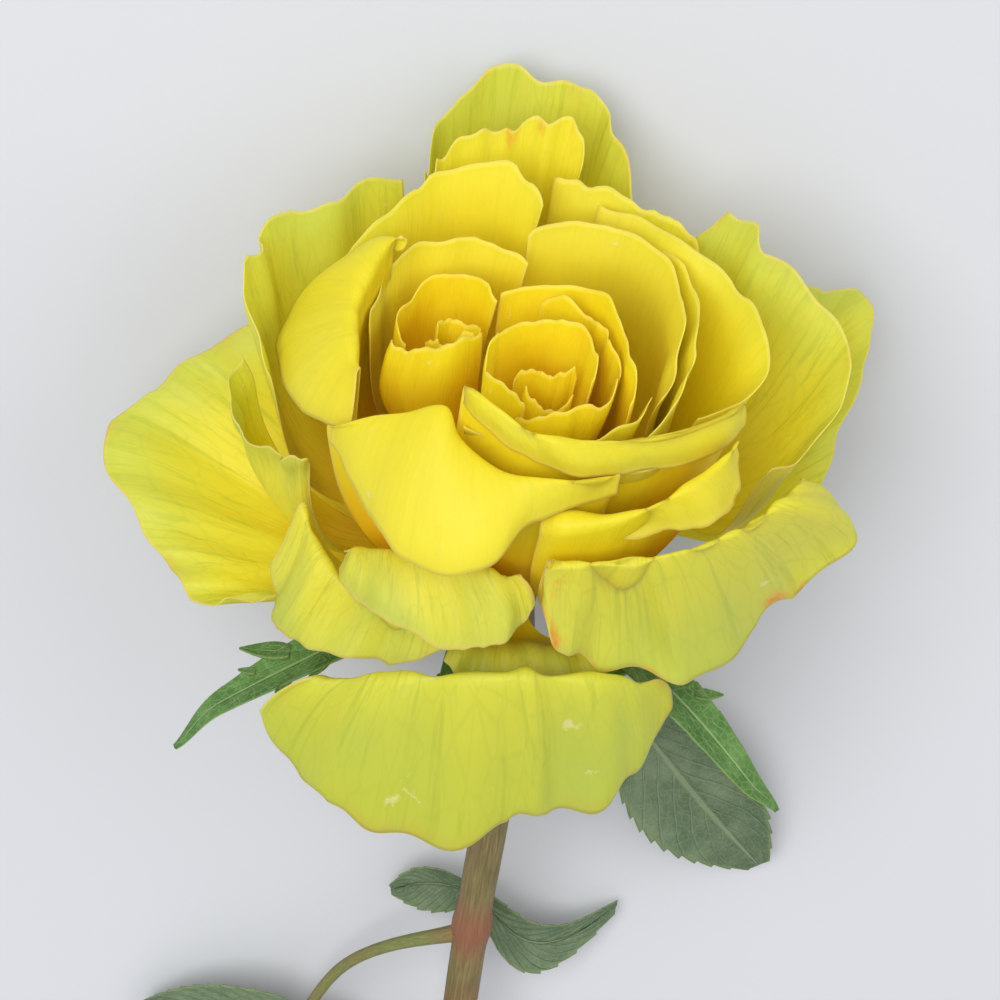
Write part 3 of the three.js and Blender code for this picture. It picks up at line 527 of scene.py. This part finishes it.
# The big outer petals, each with its own spread, from the uppermost down.
OUTER = [
    ("back_middle", [(122, 32.5, 41.5), (115, 34.5, 44.5), (108, 36, 46.5), (100, 36, 47.5), (92, 34.5, 47),
                     (85, 31.5, 44.5)],
     (27, -2), (-1, -18), 3, {"folds": [(0.55, 0.1, -2.2)], "tips": [(0.7, 0.12, 0.03)]}),
    ("back_left", [(124, 37, 41.5), (141, 38, 43), (153, 43.5, 42), (161, 40.5, 39.5), (169, 38.5, 37),
                   (178, 35.5, 33)], (28, -2), (-3, -16), 0, {"tips": [(0.35, 0.2, 0.06)]}),
    ("right_point", [(52, 30.5, 37), (46, 31, 37.5), (40, 33, 40.5), (31, 33, 38.5), (20, 36, 34.5),
                     (12, 39, 30.5), (3, 37, 25.5), (-5, 34, 21), (-10, 30.5, 20.5)],
     (27, -2), (-4, -14), 1, {"tips": [(-0.8, 0.12, 0.1)], "ruffle": 0.7}),
    ("left_roll", [(169, 39.5, 30), (177, 38.5, 26.5), (182, 36, 24), (187, 33.5, 23.5), (191, 31.5, 25),
                   (193, 29.5, 27)], (27, -4), (1, -13), 0, {"roll": 2.2}),
    ("front_lip", [(215, 31.5, 14), (225, 32, 13), (236, 31.3, 12), (250, 30, 11), (260, 29, 11),
                   (267, 27, 12), (271, 26, 14)], (20, -4), (-4, -4), 0,
     {"crest": [(213, 28, 15.5), (222, 26, 17), (238, 24, 18), (254, 23.5, 18.5), (265, 23.3, 18.5)],
      "turned": (-3, 3),
      "folds": [(0.75, 0.12, 1.0)]}),
    ("front_under", [(248, 26, 1), (256, 25, 1), (267, 25, 1.3), (280, 25.3, 1.5), (294, 26.5, 2)],
     (19, -8), (-9, 4), 0, {}),
    ("front_left", [(199, 36, 8), (207, 36.5, 5), (214, 36, 3), (223, 32.5, 3), (236, 29, 3),
                    (247, 26.5, 4)], (22, -3), (-3, -10), 0,
     {"crest": [(197, 31, 17), (207, 30.5, 14), (219, 29, 10.5), (232, 26.5, 9), (245, 24.5, 8.5)],
      "turned": (-4, 4), "ragged": 0.008}),
    ("front_right", [(272, 27.5, 14), (279, 28.5, 9.5), (291, 29.5, 5), (305, 31, 3), (314, 34.5, 0),
                     (329, 36.5, 0.5), (341, 39, 3), (349, 42, 5.5), (355, 43.6, 8), (356, 40.5, 10.5),
                     (353, 38, 11)], (22, 0), (-3, -9), 2,
     {"crest": [(271, 25.6, 22), (284, 27.2, 23.2), (300, 29.2, 23.6), (318, 31.4, 23.7), (334, 32.7, 22.7),
                (346, 33.7, 20.5)],
      "turned": (-4, 6), "ragged": 0.02, "waves": 8, "ruffle": 1.1,
      "folds": [(-0.35, 0.1, 0.8), (0.2, 0.08, -0.8)]}),
    ("left_spread", [(149, 44, 25), (157, 49.5, 20.5), (163, 54, 17), (168, 57, 13), (177, 54, 9),
                     (186, 48.5, 5), (191, 44.5, 2), (196, 40, 2), (198, 34, 2)],
     (24, -9), (-13, -2), 1,
     {"ragged": 0.022, "waves": 7, "ruffle": 1.1, "folds": [(0.45, 0.1, 1.0), (0.05, 0.08, -0.8)]}),
    ("back_tall", [(120, 37, 40), (115, 39, 43), (109, 43.5, 45.5), (101, 46, 48), (93, 45, 48),
                   (85, 43.5, 47), (80, 38, 44), (70, 30, 39)],
     (28, -6), (-2, -22), 1, {"tips": [(-0.72, 0.07, -0.06)], "folds": [(0.1, 0.12, -1.0)]}),
    ("far_right", [(46, 44, 24), (37, 45.8, 25), (34, 50, 24), (31, 54, 22), (26, 50, 19), (18, 45.6, 15),
                   (12, 42, 10), (7, 41, 5)], (27, -10), (-10, -8), 0, {}),
    ("far_left", [(112, 40, 12), (124, 46, 14), (138, 48, 13), (150, 45, 10)],
     (24, -12), (-10, -7), 0, {}),
    ("front_drop", [(215, 40, -11), (222, 37, -17), (234, 35, -19), (248, 33.5, -21), (267, 33, -23),
                    (282, 32, -21), (296, 32, -18), (305, 31.5, -14), (313, 31, -8)],
     (24, -16), (-6, -9), 4,
     {"crest": [(222, 32, -3), (233, 31, 1), (248, 29.5, 4), (270, 28.5, 5.5), (292, 28.5, 3),
                (303, 28.5, -1)], "turned": (0, 9),
      "ragged": 0.02, "waves": 6.5, "ruffle": 1.0, "folds": [(0.22, 0.05, 1.1), (-0.2, 0.1, -0.7)]}),
]
for i, (name, rim, belly, shoulder, skin, extra) in enumerate(OUTER):
    add_petal(
        f"petal_{name}", "petal_outer", OUTER_SKINS[skin],
        rim=rim, claw=(6.7 + 0.07 * i, 5.2 - 0.3 * i), belly=belly, shoulder=shoulder,
        **{"roll": 0.6, "ruffle": 0.85, "waves": 5.2, "ragged": 0.013, "pleats": 0.2, "seed": 40 + i,
           "rows": 72, "columns": 84, **extra},
    )


# ---------------------------------------------------------------------------------------------
# Stem: a round brown-green cane with a reddish flush and fine streaks along it, a little swollen
# where the leaves grow, cut straight across at its foot. It is swept along its curve.
# ---------------------------------------------------------------------------------------------
class Garden:
    """A geometry tree with named sizes, grown on a carrier object into one plain mesh."""

    def __init__(self, name, **sizes):
        self.tree = bpy.data.node_groups.new(name, "GeometryNodeTree")
        self.tree.interface.new_socket("Geometry", in_out="OUTPUT", socket_type="NodeSocketGeometry")
        self.tree.interface.new_socket("Geometry", in_out="INPUT", socket_type="NodeSocketGeometry")
        self.sizes = sizes
        for key, value in sizes.items():
            kind = "NodeSocketInt" if isinstance(value, int) else "NodeSocketFloat"
            self.tree.interface.new_socket(key, in_out="INPUT", socket_type=kind)
        self.given = self.tree.nodes.new("NodeGroupInput").outputs

    def add(self, kind, settings=None, **inputs):
        node = self.tree.nodes.new(kind)
        for key, value in (settings or {}).items():
            setattr(node, key, value)
        for key, value in inputs.items():
            socket = node.inputs[key.replace("_", " ")]
            if isinstance(value, bpy.types.NodeSocket):
                self.tree.links.new(value, socket)
            else:
                socket.default_value = value
        return node.outputs

    def grow(self, name, source, material, bodies):
        realised = self.add("GeometryNodeRealizeInstances", Geometry=bodies)[0]
        painted = self.add("GeometryNodeSetMaterial", Geometry=realised, Material=material)[0]
        self.tree.links.new(painted, self.tree.nodes.new("NodeGroupOutput").inputs[0])
        carrier = bpy.data.objects.new(name + "_carrier", source)
        bpy.context.scene.collection.objects.link(carrier)
        modifier = carrier.modifiers.new("grow", "NODES")
        modifier.node_group = self.tree
        for item in self.tree.interface.items_tree:
            if item.in_out == "INPUT" and item.name in self.sizes:
                modifier[item.identifier] = self.sizes[item.name]
        evaluated = carrier.evaluated_get(bpy.context.evaluated_depsgraph_get())
        mesh = bpy.data.meshes.new_from_object(evaluated)
        mesh.name = name
        bpy.data.objects.remove(carrier)
        return mesh


def cane(name, points, radii, radius, material, sides):
    """A round body swept along points (metres), whose radius at each is its share of radius."""
    line = bpy.data.curves.new(name + "_line", "CURVE")
    line.dimensions = "3D"
    spline = line.splines.new("POLY")
    spline.points.add(len(points) - 1)
    for spot, point, share in zip(spline.points, points, radii):
        spot.co = (*point, 1)
        spot.radius = share
    g = Garden(name + "_tree", Radius=radius, Sides=sides)
    run = g.add("GeometryNodeSplineParameter")["Factor"]
    store = {"data_type": "FLOAT", "domain": "POINT"}
    path = g.add("GeometryNodeStoreNamedAttribute", store, Geometry=g.given["Geometry"], Name="run", Value=run)[0]
    ring = g.add("GeometryNodeCurvePrimitiveCircle", Radius=g.given["Radius"], Resolution=g.given["Sides"])[0]
    turn = g.add("GeometryNodeSplineParameter")["Factor"]
    ring = g.add("GeometryNodeStoreNamedAttribute", store, Geometry=ring, Name="turn", Value=turn)[0]
    swept = g.add(
        "GeometryNodeCurveToMesh", Curve=path, Profile_Curve=ring, Fill_Caps=True,
        Scale=g.add("GeometryNodeInputRadius")[0],
    )[0]
    shaded = g.add("GeometryNodeSetShadeSmooth", Geometry=swept)[0]
    mesh = g.grow(name, line, material, shaded)
    bark = np.array([len(f.vertices) == 4 for f in mesh.polygons])
    mesh.polygons.foreach_set("use_smooth", bark)
    cut = mesh.attributes.new("cut", "FLOAT", "FACE")
    cut.data.foreach_set("value", (~bark).astype(np.float32))
    return mesh


def bark_skin(name, light, dark, flush, flush_at):
    """Rind with streaks along it; flush_at lists (place, width) where it reddens along its run."""
    k = Shader(name, 0.5, subsurface=0.1, radius=(0.5, 0.3, 0.1), scale=0.002)
    both = k.tree.nodes.new("ShaderNodeCombineXYZ")
    turn = k.maths("MULTIPLY", k.attribute("turn"), 2 * math.pi)
    k.put(both.inputs[0], k.maths("MULTIPLY", k.maths("COSINE", turn), 1.6))
    k.put(both.inputs[1], k.maths("MULTIPLY", k.maths("SINE", turn), 1.6))
    k.put(both.inputs[2], k.maths("MULTIPLY", k.attribute("run"), 9.0))
    streak = k.ramp(k.noise(both.outputs[0], 4.5, 4, 0.6), 0.36, 0.66)
    cloud = k.ramp(k.noise(k.place(), 55, 3, 0.55), 0.38, 0.66)
    fine = k.noise(k.place(), 1500, 2, 0.6)
    colour = k.mix(streak, light, dark)
    colour = k.mix(k.maths("MULTIPLY", cloud, 0.55), colour, flush)
    for place, width in flush_at:
        far = k.maths("ABSOLUTE", k.maths("SUBTRACT", k.attribute("run"), place))
        near = k.maths("SUBTRACT", 1.0, k.ramp(far, 0.0, width))
        colour = k.mix(k.maths("MULTIPLY", near, 0.75), colour, tuple(1.15 * c for c in flush))
    pith = k.mix(k.ramp(fine, 0.4, 0.62), (0.62, 0.66, 0.36), (0.42, 0.48, 0.2))
    colour = k.mix(k.attribute("cut"), colour, pith)
    relief = k.bump(fine, 0.00006, 0.5, k.bump(streak, 0.00018, 0.6))
    return k.finish(colour, relief)


STEM_LENGTH = 215.0
STEM_RADIUS = 2.6
SEAT_HEIGHT = 31.0
STEM_GAP = 0.35
stem_start = -HEAD_AXIS * (HIP_HALF_LENGTH + STEM_GAP)


def stem_point(share, x, z):
    return (x, stem_start[1] + STEM_LENGTH * share, z - SEAT_HEIGHT)


STEM_PATH = [
    tuple(stem_start + HEAD_AXIS * 1.5),
    tuple(stem_start - HEAD_AXIS * STEM_LENGTH * 0.1),
    stem_point(0.28, 6, SEAT_HEIGHT * 0.52),
    stem_point(0.52, 12, SEAT_HEIGHT * 0.3),
    stem_point(0.78, 17, SEAT_HEIGHT * 0.14 + STEM_RADIUS * 0.4),
    stem_point(1, 20, STEM_RADIUS),
]


def evenly(points, count):
    """Points at equal steps along the smooth line through a few points."""
    fine = through(points, np.linspace(0, 1, 600))
    steps = np.concatenate([[0], np.cumsum(np.linalg.norm(np.diff(fine, axis=0), axis=1))])
    at = np.linspace(0, steps[-1], count)
    return np.stack([np.interp(at, steps, fine[:, k]) for k in range(3)], axis=1)


def on_table(points):
    """Millimetres from the seat, along the row frame's own axes, turned into metres."""
    return SEAT + np.asarray(points, float) * MM


STEM_STEPS = 219
stem_line = evenly(STEM_PATH, STEM_STEPS + 1)
LEAF_NODES = (0.165, 0.29)
stem_run = np.linspace(0, 1, len(stem_line))
stem_swell = 1 + 0.03 * np.sin(stem_run * 47) * np.sin(stem_run * 19)
stem_swell += 0.34 * np.exp(-(stem_run / 0.018) ** 2)
for node_place in LEAF_NODES:
    stem_swell += 0.2 * np.exp(-(((stem_run - node_place) / 0.012) ** 2))
STEM_SKIN = bark_skin(
    "stem_bark", (0.25, 0.20, 0.075), (0.15, 0.12, 0.045), (0.26, 0.085, 0.05),
    [(place, 0.035) for place in LEAF_NODES],
)
stem_mesh = cane("stem", on_table(stem_line), stem_swell, STEM_RADIUS * MM, STEM_SKIN, 40)
add_piece("stem", stem_mesh, STEM_SKIN, "stem", "stem")


# ---------------------------------------------------------------------------------------------
# Sepals: five leafy green blades that hang back from the hip, each keeled along a pale midrib
# and drawn out to a slender tip, with small side leaflets and teeth along its edges.
# ---------------------------------------------------------------------------------------------
SEPAL_LENGTH = 46.0
SEPAL_HALF_WIDTH = 4.2


def blade_skin(name, dark, light, vein, pairs, lean, roughness, edge):
    """A green blade: clouded green, a pale midrib, side veins, a fine net and a coloured edge."""
    k = Shader(name, roughness, subsurface=0.2, radius=(0.3, 0.6, 0.1), scale=0.002)
    split = k.tree.nodes.new("ShaderNodeSeparateXYZ")
    k.put(split.inputs[0], k.grain(1, 1))
    off = k.maths("ABSOLUTE", k.maths("SUBTRACT", k.maths("MULTIPLY", split.outputs[0], 2.0), 1.0))
    wander = k.maths("MULTIPLY", k.maths("SUBTRACT", k.noise(k.grain(3, 6), 1.5, 2), 0.5), 0.05)
    ladder = k.maths("ADD", k.maths("SUBTRACT", split.outputs[1], k.maths("MULTIPLY", off, lean)), wander)
    saw = k.maths("FRACT", k.maths("MULTIPLY", ladder, float(pairs)))
    near = k.maths("ABSOLUTE", k.maths("SUBTRACT", saw, 0.5))
    side_vein = k.maths("SUBTRACT", 1.0, k.ramp(near, 0.02, 0.11))
    midrib = k.maths("SUBTRACT", 1.0, k.ramp(off, 0.03, 0.11))
    ribs = k.maths("MAXIMUM", midrib, k.maths("MULTIPLY", side_vein, 0.55))
    net = k.ramp(k.cells(k.place(), 900), 0.0, 0.12)
    cloud = k.ramp(k.noise(k.place(), 120, 4, 0.6), 0.35, 0.68)
    colour = k.mix(cloud, dark, light)
    colour = k.mix(k.maths("MULTIPLY", k.maths("SUBTRACT", 1.0, net), 0.3), colour, vein)
    colour = k.mix(k.maths("MULTIPLY", ribs, 0.75), colour, vein)
    colour = k.mix(k.maths("MULTIPLY", k.ramp(off, 0.86, 1.0), 0.7), colour, edge)
    relief = k.bump(k.maths("SUBTRACT", 1.0, ribs), 0.00035, 0.8, k.bump(net, 0.00008, 0.6))
    return k.finish(colour, relief)


def joined(name, meshes):
    """Several closed meshes with the same layers put together as one."""
    whole = bmesh.new()
    for mesh in meshes:
        whole.from_mesh(mesh)
    out = bpy.data.meshes.new(name)
    whole.to_mesh(out)
    whole.free()
    out.polygons.foreach_set("use_smooth", [True] * len(out.polygons))
    return out


def small_blade(name, base, ahead, side, up, length, half_width, bend):
    """A little pointed leaflet from its base point: bend is how far its tip curls up."""
    s, t = np.meshgrid(np.linspace(0, 1, 18), np.linspace(-1, 1, 7), indexing="ij")
    width = half_width * np.sin(math.pi * (0.12 + 0.88 * s) ** 0.8) ** 0.9 * (1 - 0.25 * s) + 0.12
    points = (
        base + ahead * (s * length)[..., None] + side * (t * width)[..., None]
        + up * (bend * s * s + 0.25 * width * t * t)[..., None]
    )
    return sheet_mesh(name, in_head(points), (0.42 - 0.22 * s) * MM, {})


def sepal_mesh(name, az, droop, lobes, hook, teeth, seed):
    """lobes: (place, side, length, lean in degrees); teeth: how many along each edge."""
    rng = np.random.default_rng(seed)
    rows = 120
    s, t = np.meshgrid(np.linspace(0, 1, rows), np.linspace(-1, 1, 15), indexing="ij")
    turn = math.radians(az)
    outward = np.array([math.cos(turn), math.sin(turn), 0.0])
    sideways = np.array([-math.sin(turn), math.cos(turn), 0.0])
    upward = np.array([0.0, 0.0, 1.0])
    reach = SEPAL_LENGTH * s
    bend = droop * (0.4 + 0.9 * s)
    radius = HIP_RADIUS - 1.2 + reach * np.cos(bend * 0.8)
    height = -3.2 - reach * np.sin(bend * 0.8) * 0.8 + hook[0] * smooth((s - 0.8) / 0.2) ** 2
    saw = (s * teeth + rng.uniform(0, 1)) % 1.0
    bite = 1 - 0.16 * saw * (1 - s) * (np.abs(t) > 0.99)
    width = (SEPAL_HALF_WIDTH * (0.35 + 1.9 * s) * (1 - s * s) * (1 - 0.35 * smooth(s * 1.2)) + 0.45) * bite
    drift = hook[1] * s * s + 0.6 * np.sin(4 * s)
    keel = 0.28 * width * np.abs(t) ** 1.4 + 0.12 * np.sin(9 * s + 3 * t) * s
    points = (
        outward * radius[..., None] + sideways * (t * width + drift)[..., None]
        + upward * (height + keel)[..., None]
    )
    thick = (0.75 - 0.45 * np.abs(t) - 0.2 * s) * MM
    parts = [sheet_mesh(name + "_blade", in_head(points), thick, {})]
    for place, hand, length, lean in lobes:
        row = int(place * (rows - 1))
        root = points[row, 7] + (points[row, 14 if hand > 0 else 0] - points[row, 7]) * 0.6
        ahead = points[row + 2, 7] - points[row, 7]
        ahead /= np.linalg.norm(ahead)
        across = sideways * hand
        lead = across * math.cos(math.radians(lean)) + ahead * math.sin(math.radians(lean))
        flat = np.cross(lead, np.cross(across, ahead))
        flat /= np.linalg.norm(flat)
        rise = np.cross(lead, flat)
        rise *= 1 if rise[2] > 0 else -1
        parts.append(small_blade(name, root, lead, flat, rise, length, length * 0.2, length * 0.12))
    return joined(name, parts)


SEPAL_SKIN = blade_skin(
    "sepal_green", (0.05, 0.145, 0.022), (0.13, 0.27, 0.065), (0.30, 0.45, 0.17), 9, 0.35, 0.48, (0.22, 0.32, 0.1)
)
SEPALS = [
    (205, 0.34, [(0.42, -1, 9, 50), (0.58, -1, 7, 55), (0.7, -1, 2.5, 50), (0.5, 1, 4, 60), (0.62, 1, 3.4, 60)],
     (-3, -2), 7),
    (318, 0.55, [(0.3, 1, 8, 10), (0.26, -1, 9, 20), (0.36, -1, 5, -10), (0.55, 1, 4, 40)], (2, 3), 9),
    (243, 1.5, [(0.35, 1, 4, 30), (0.5, 1, 3.5, 40), (0.64, 1, 4, 40), (0.45, -1, 3, 40)], (0, -3), 10),
    (20, 1.1, [(0.3, 1, 6, 35), (0.42, -1, 5, 40)], (-2, 2), 8),
    (118, 1.42, [(0.34, -1, 6, 35), (0.46, 1, 5, 40)], (-2, -2), 8),
]
for i, (az, droop, lobes, hook, teeth) in enumerate(SEPALS):
    sepal = sepal_mesh(f"sepal_{i + 1}", az, droop, lobes, hook, teeth, 70 + i)
    add_piece(f"sepal_{i + 1}", sepal, SEPAL_SKIN, "sepal", f"sepal_{i + 1}")


# ---------------------------------------------------------------------------------------------
# Leaves: dull sage-green leaflets with a sunken midrib, slanting side veins and small teeth round
# the edge, on slender stalks that grow from the two swollen places of the stem.
# ---------------------------------------------------------------------------------------------
LEAF_LENGTH = 34.0
LEAF_HALF_WIDTH = 9.0
STALK_RADIUS = 0.9
SIDE_VEINS = 8
VEIN_LEAN = 0.42
LEAF_SKIN = blade_skin(
    "leaf_sage", (0.085, 0.135, 0.07), (0.17, 0.225, 0.13), (0.24, 0.31, 0.17), SIDE_VEINS, VEIN_LEAN, 0.55,
    (0.2, 0.25, 0.12),
)
STALK_SKIN = bark_skin("stalk_rind", (0.27, 0.29, 0.09), (0.17, 0.21, 0.06), (0.25, 0.15, 0.06), [(0.0, 0.12)])


def leaflet(name, base, heading, length, half_width, bow, rise, cup=1.5, swing=0.0, teeth=13, seed=0):
    """One toothed leaflet: heading is the direction of its midrib on the table, in degrees."""
    rng = np.random.default_rng(seed)
    rows, columns = 30 * teeth // 3, 33
    s, t = np.meshgrid(np.linspace(0, 1, rows), np.linspace(-1, 1, columns), indexing="ij")
    turn = math.radians(heading)
    ahead = np.array([math.cos(turn), math.sin(turn), 0.0])
    side = np.array([-ahead[1], ahead[0], 0.0])
    up = np.array([0.0, 0.0, 1.0])
    saw = (s * teeth) % 1.0
    fringe = smooth((np.abs(t) - 0.9) / 0.1)
    width = half_width * np.sin(math.pi * (s * 0.94 + 0.03) ** 0.85) ** 0.75 + 0.3
    width = width * (1 + fringe * 0.085 * (saw - 0.4) * np.sin(math.pi * s) ** 0.4)
    trough = 0.5 * np.exp(-np.abs(t) * 9) * np.sin(math.pi * s)
    ladder = np.sin(2 * math.pi * SIDE_VEINS * (s - VEIN_LEAN * np.abs(t)))
    quilt = 0.16 * ladder * np.sin(math.pi * s) * np.minimum(1, 4 * np.abs(t)) * (1 - fringe)
    sway = 0.5 * np.sin(5 * s + rng.uniform(0, 6)) * t + 0.5 * np.sin(7 * s + 2 * t + rng.uniform(0, 6)) * np.abs(t)
    lift = rise * s + bow * np.sin(math.pi * s) + cup * t * t * width / half_width - trough + quilt + sway * 0.6
    forward = s * length + fringe * 0.35 * saw
    points = (
        np.asarray(base) + ahead * forward[..., None]
        + side * (t * width - swing * np.sin(math.pi * s))[..., None] + up * lift[..., None]
    )
    thick = (0.42 - 0.2 * np.abs(t)) * MM
    return add_piece(name, sheet_mesh(name, on_table(points), thick, {}), LEAF_SKIN, "leaf", name)


def stalk(name, points):
    line = evenly(points, 48)
    run = np.linspace(0, 1, len(line))
    radii = 1.0 + 0.55 * np.exp(-run / 0.12) - 0.1 * run
    mesh = cane(name, on_table(line), radii, STALK_RADIUS * MM, STALK_SKIN, 20)
    add_piece(name, mesh, STALK_SKIN, "leaf", name)


UNDER_SHARE = 0.285  # where along the stem the middle leaf grows
LOWER_SHARE = 0.3
STALK_SINK = 0.8  # how far a stalk starts inside the bark


def beside_stem(share, sideways):
    return stem_line[int(share * STEM_STEPS)] + np.array([(STEM_RADIUS - STALK_SINK) * sideways, 0, 0])


def arc(start, end, height):
    """Start, a middle point at the given height and end of a stalk."""
    middle = (np.asarray(start) + np.asarray(end)) / 2
    middle[2] = height - SEAT_HEIGHT
    return [tuple(start), tuple(middle), tuple(end)]


upper_start = beside_stem(LEAF_NODES[0], -1)
upper_height = upper_start[2] + SEAT_HEIGHT
upper_end = np.array([upper_start[0] - 17, upper_start[1] - 5, upper_height * 0.5 - SEAT_HEIGHT])
stalk("leaf_upper_stalk", arc(upper_start, upper_end, upper_height * 0.82))
leaflet(
    "leaf_upper", upper_end + (-0.4, 0.2, 0), 125, LEAF_LENGTH * 1.05, LEAF_HALF_WIDTH, 2.5,
    -(upper_height * 0.5 - 3), seed=1,
)
under_start = stem_line[int(UNDER_SHARE * STEM_STEPS)] - (0, 0, STEM_RADIUS - STALK_SINK)
under_height = under_start[2] + SEAT_HEIGHT - 2.05
under_end = np.array([under_start[0], under_start[1] + 2, under_height * 0.45 - SEAT_HEIGHT])
stalk("leaf_under_stalk", arc(under_start, under_end, under_height * 0.72))
under_fall = -(under_height * 0.45 - 2)
leaflet(
    "leaf_under_right", under_end + (-0.4, 0, 0), 168, LEAF_LENGTH * 0.65, LEAF_HALF_WIDTH * 0.45, 2,
    under_fall, swing=7, teeth=9, seed=2,
)
leaflet(
    "leaf_under_left", under_end + (0.4, 0, 0), 8, LEAF_LENGTH * 0.37, LEAF_HALF_WIDTH * 0.4, 1.5,
    under_fall, swing=2, teeth=6, seed=3,
)
lower_start = beside_stem(LOWER_SHARE, 1)
lower_height = lower_start[2] + SEAT_HEIGHT
lower_end = np.array([lower_start[0] + 34, lower_start[1] + 42, 4 - SEAT_HEIGHT])
lower_middle = (lower_start[0] + 19, lower_start[1] + 11, lower_height * 0.6 - SEAT_HEIGHT)
lower_path = [tuple(lower_start), lower_middle, tuple(lower_end)]
stalk("leaf_lower_stalk", lower_path)
LOWER_STEPS = 100
LOWER_HEADING = 60
SIDE_ANGLE = 56
lower_line = evenly(lower_path, LOWER_STEPS + 1)
leaflet(
    "leaf_lower_tip", lower_end + (0.2, 0.4, 0), LOWER_HEADING, LEAF_LENGTH * 0.95, LEAF_HALF_WIDTH, 2, -2,
    seed=4,
)
for word, share, size in (("inner", 0.58, 0.68), ("outer", 0.86, 0.78)):
    for hand, turn in (("left", 1), ("right", -1)):
        heading = LOWER_HEADING + SIDE_ANGLE * turn
        base = lower_line[int(share * LOWER_STEPS)]
        away = np.array([math.cos(math.radians(heading)), math.sin(math.radians(heading)), 0.0])
        leaflet(
            f"leaf_lower_{word}_{hand}", base + away * 0.9, heading, LEAF_LENGTH * size + 1.5,
            LEAF_HALF_WIDTH * size, 2, -(base[2] + SEAT_HEIGHT - 3), teeth=11, seed=5 + turn + len(word),
        )


# ---------------------------------------------------------------------------------------------
# Studio: a pale table that the rose lies on, broad soft lamps, and a camera that looks down on
# the open flower.
# ---------------------------------------------------------------------------------------------
TABLE_REACH = 3
TABLE_GREY = (0.62, 0.63, 0.655)
floor_mesh = bpy.data.meshes.new("table_top")
corners = [(TABLE_REACH * x, TABLE_REACH * y, 0) for x, y in ((-1, -1), (1, -1), (1, 1), (-1, 1))]
floor_mesh.from_pydata(corners, [], [(0, 1, 2, 3)])
floor = bpy.data.objects.new("table_top", floor_mesh)
bpy.context.scene.collection.objects.link(floor)
paint = Shader("pale_table", 0.8)
paint.skin.inputs["Base Color"].default_value = (*TABLE_GREY, 1)
floor_mesh.materials.append(paint.material)

VIEW_RISE = math.radians(68)
towards_camera = Vector((0, -math.cos(VIEW_RISE), math.sin(VIEW_RISE)))
picture_up = Vector((0, -math.sin(VIEW_RISE), -math.cos(VIEW_RISE)))
picture_right = picture_up.cross(towards_camera)
CAMERA_DISTANCE = 0.36
CAMERA_LENS = 96
SENSOR_WIDTH = 36
AIM_RIGHT, AIM_UP = -0.0018, 0.0068
target = Vector(SEAT) + picture_right * AIM_RIGHT + picture_up * AIM_UP
camera_data = bpy.data.cameras.new("camera")
camera_data.lens = CAMERA_LENS
camera_data.sensor_width = SENSOR_WIDTH
camera = bpy.data.objects.new("camera", camera_data)
rotation = Matrix((picture_right, picture_up, towards_camera)).transposed().to_4x4()
camera.matrix_world = Matrix.Translation(target + towards_camera * CAMERA_DISTANCE) @ rotation
bpy.context.scene.collection.objects.link(camera)
bpy.context.scene.camera = camera


def soft_lamp(name, place, size, power):
    data = bpy.data.lights.new(name, "AREA")
    data.shape = "DISK"
    data.size = size
    data.energy = power
    lamp = bpy.data.objects.new(name, data)
    lamp.location = place
    aim = Vector(SEAT) - Vector(place)
    lamp.rotation_euler = aim.to_track_quat("-Z", "Y").to_euler()
    bpy.context.scene.collection.objects.link(lamp)


soft_lamp("lamp_over", (0.35, -0.5, 1.2), 1.1, 12.5)
soft_lamp("lamp_side", (-0.9, -0.4, 0.8), 1.0, 3.2)
bpy.context.scene.view_settings.view_transform = "Standard"
world = bpy.data.worlds.new("room")
bpy.context.scene.world = world
world.use_nodes = True
ROOM_LIGHT = (0.95, 0.97, 1.0)
ROOM_STRENGTH = 0.56
world.node_tree.nodes["Background"].inputs["Color"].default_value = (*ROOM_LIGHT, 1)
world.node_tree.nodes["Background"].inputs["Strength"].default_value = ROOM_STRENGTH
